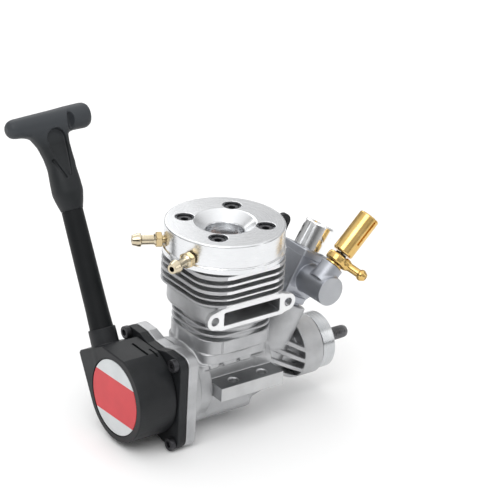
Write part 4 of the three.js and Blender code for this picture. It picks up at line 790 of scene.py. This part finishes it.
lathe("needle_seat_turned", NBF, [(.7, 4.9), (1.45, 4.9), (1.45, 7.6), (3.3, 7.6, .15), (3.3, 8.3, .15), (1.7, 8.5), (1.7, 12.3), (.7, 12.3)], 48, "root", [BRASS], ["needle_seat"], r=.05)

# ---- CAD nodes that stay get their own finishes
FIN = {"cylinder_liner": GROUND, "head_gasket": COPPER, "head_button": TURNED_Z, "glow_plug_washer": COPPER, "glow_plug": GROUND, "rear_bearing_outer": GROUND, "rear_bearing_inner": GROUND,
       "rear_bearing_cage": BRASS, "front_bearing_outer": GROUND, "front_bearing_inner": GROUND, "hub_collet": BRASS, "backplate": CAST, "starter_shaft": STEEL, "piston": MILLED, "gudgeon_pin": GROUND,
       "pin_clip_1": STEEL, "pin_clip_2": STEEL, "connecting_rod": MILLED, "big_end_bush": BRASS, "throttle_barrel": BRASS, "throttle_arm_screw": STEEL, "neck_sealing_ring": RUBBER, "neck_clamp_screw": OXIDE,
       "idle_stop_screw": BRASS, "needle_seal": RUBBER, "cord_reel": BLACK, "cord_winding": CORDM, "one_way_ring": STEEL, "reel_screw": STEEL, "recoil_spring": STEEL}
for n_, o in frame["nodes"].items():
    if n_ in FIN:
        o.data.materials.clear(); o.data.materials.append(FIN[n_])

# ---- pull cord: one braided cord from the reel up the tube into the grip
def cord_points():
    al = lambda s: np.array([-40.2, 15.4 + s * CDIR[1], 14.5 + s * CDIR[2]])
    c = [np.array([-40.2, 10.87, -.6]), np.array([-40.2, 11.15, 3.5]), np.array([-40.2, 11.75, 6.6])] + [al(s) for s in (-7.2, -4.5, 0, 12, 24, 36, 47, 55)]
    c = np.array(c); out = []
    for i in range(len(c) - 1):
        p0, p1, p2, p3 = c[max(i - 1, 0)], c[i], c[i + 1], c[min(i + 2, len(c) - 1)]
        n = max(3, int(np.linalg.norm(p2 - p1) / 1.2))
        for k in range(n):
            t = k / n; out.append(.5 * (2 * p1 + (p2 - p0) * t + (2 * p0 - 5 * p1 + 4 * p2 - p3) * t * t + (3 * p1 - p0 - 3 * p2 + p3) * t ** 3))
    return np.array(out + [c[-1]])
cp = cord_points(); tan = np.gradient(cp, axis=0); tan /= np.linalg.norm(tan, axis=1)[:, None]
ux = np.array([1., 0, 0]); w_ = np.cross(tan, ux); w_ /= np.linalg.norm(w_, axis=1)[:, None]
th = 2 * math.pi * np.arange(16) / 16
arc = np.r_[0, np.cumsum(np.linalg.norm(np.diff(cp, axis=0), axis=1))]
rr = .76 + .05 * np.cos(3 * (th[None] + arc[:, None] * 1.6)) * np.cos(3 * (th[None] - arc[:, None] * 1.6))
RC = cp[:, None] + rr[..., None] * (np.cos(th)[None, :, None] * ux + np.sin(th)[None, :, None] * w_[:, None])
ni, nj = RC.shape[:2]
i, j = np.meshgrid(np.arange(ni - 1), np.arange(nj), indexing="ij"); i, j = i.ravel(), j.ravel(); k = (j + 1) % nj
Tc = [np.stack([i * nj + j, i * nj + k, (i + 1) * nj + k], 1), np.stack([i * nj + j, (i + 1) * nj + k, (i + 1) * nj + j], 1)]
Vc = np.concatenate([RC.reshape(-1, 3), RC[0].mean(0)[None], RC[-1].mean(0)[None]]); j = np.arange(nj); k = (j + 1) % nj
Tc += [np.stack([np.full(nj, len(Vc) - 2), k, j], 1), np.stack([np.full(nj, len(Vc) - 1), (ni - 1) * nj + j, (ni - 1) * nj + k], 1)]
Tc = np.concatenate(Tc)
if np.einsum("ij,ij->i", Vc[Tc[:, 0]], np.cross(Vc[Tc[:, 1]], Vc[Tc[:, 2]])).sum() < 0: Tc = Tc[:, ::-1]
me = make_mesh("starter_cord", (Vc + OFF) / 1000, Tc)
me.polygons.foreach_set("use_smooth", np.ones(len(Tc), bool)); me.update(); me.materials.append(CORDM)
cord = bpy.data.objects.new("starter_cord", me)
bpy.context.scene.collection.objects.link(cord)
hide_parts("pull_cord")
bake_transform(cord)

# ============================================================ floor, light
zf = min(v for v in (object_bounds()[0][2],)) - .0004
fm, fnt, fb = new_mat("floor_paper")
fb.inputs["Base Color"].default_value = (.96, .96, .96, 1); fb.inputs["Roughness"].default_value = .9; fb.inputs["Specular IOR Level"].default_value = .1
fme = bpy.data.meshes.new("floor"); S_ = 4.0
fme.from_pydata([(-S_, -S_, zf), (S_, -S_, zf), (S_, S_, zf), (-S_, S_, zf)], [], [(0, 1, 2, 3)]); fme.materials.append(fm)
floor = bpy.data.objects.new("floor", fme); bpy.context.scene.collection.objects.link(floor); floor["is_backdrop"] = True
w = bpy.data.worlds.new("studio"); bpy.context.scene.world = w; w.use_nodes = True
wn = w.node_tree; bg = wn.nodes["Background"]
tc = wn.nodes.new("ShaderNodeTexCoord"); sp = wn.nodes.new("ShaderNodeSeparateXYZ"); wn.links.new(tc.outputs["Generated"], sp.inputs["Vector"])
up_ = ramp(wn, maths(wn, "MULTIPLY_ADD", sp.outputs["Z"], .5, .5), [(0.0, g3(.30)), (.5, g3(.26)), (.62, g3(.42)), (.76, g3(.55)), (.86, g3(1.0)), (1.0, g3(1.35))])
az = maths(wn, "MULTIPLY_ADD", maths(wn, "ARCTAN2", sp.outputs["Y"], sp.outputs["X"]), 1 / (2 * math.pi), .5)
panels = ramp(wn, az, [(0.0, g3(1.15)), (.04, g3(.8)), (.09, g3(.35)), (.14, g3(.30)), (.18, g3(.9)), (.22, g3(1.5)), (.27, g3(1.4)), (.31, g3(.7)), (.36, g3(.45)), (.42, g3(.55)), (.47, g3(1.3)), (.52, g3(1.5)), (.57, g3(1.1)), (.60, g3(1.2)), (.68, g3(1.3)), (.75, g3(.6)), (.85, g3(1.2)), (.93, g3(.9)), (1.0, g3(1.15))])
mx = wn.nodes.new("ShaderNodeMix"); mx.data_type = "RGBA"; mx.blend_type = "MULTIPLY"
side_ = ramp(wn, maths(wn, "ABSOLUTE", sp.outputs["Z"]), [(0.0, g3(1)), (.45, g3(1)), (.8, g3(0))])
wn.links.new(side_, mx.inputs["Factor"]); wn.links.new(up_, mx.inputs["A"]); wn.links.new(panels, mx.inputs["B"])
wn.links.new(mx.outputs["Result"], bg.inputs["Color"]); bg.inputs["Strength"].default_value = 1.0
def area(name, loc_, target, size, power, sy=None):
    l = bpy.data.lights.new(name, "AREA"); l.shape = "RECTANGLE"; l.size = size; l.size_y = sy or size; l.energy = power
    o = bpy.data.objects.new(name, l); bpy.context.scene.collection.objects.link(o)
    dv = Vector(target) - Vector(loc_); o.location = loc_; o.rotation_euler = dv.to_track_quat("-Z", "Y").to_euler()
    return o
area("key", (-.55, -.35, .75), (0, 0, .02), .6, 3.0)
area("side", (.65, -.75, .45), (0, 0, .02), .35, 1.0, .7)
area("back", (.2, .8, .6), (0, 0, .03), .6, 2.0)
sc = bpy.context.scene
sc.view_settings.view_transform = "Standard"; sc.view_settings.look = "None"; sc.view_settings.exposure = 0.0; sc.view_settings.gamma = 1.0
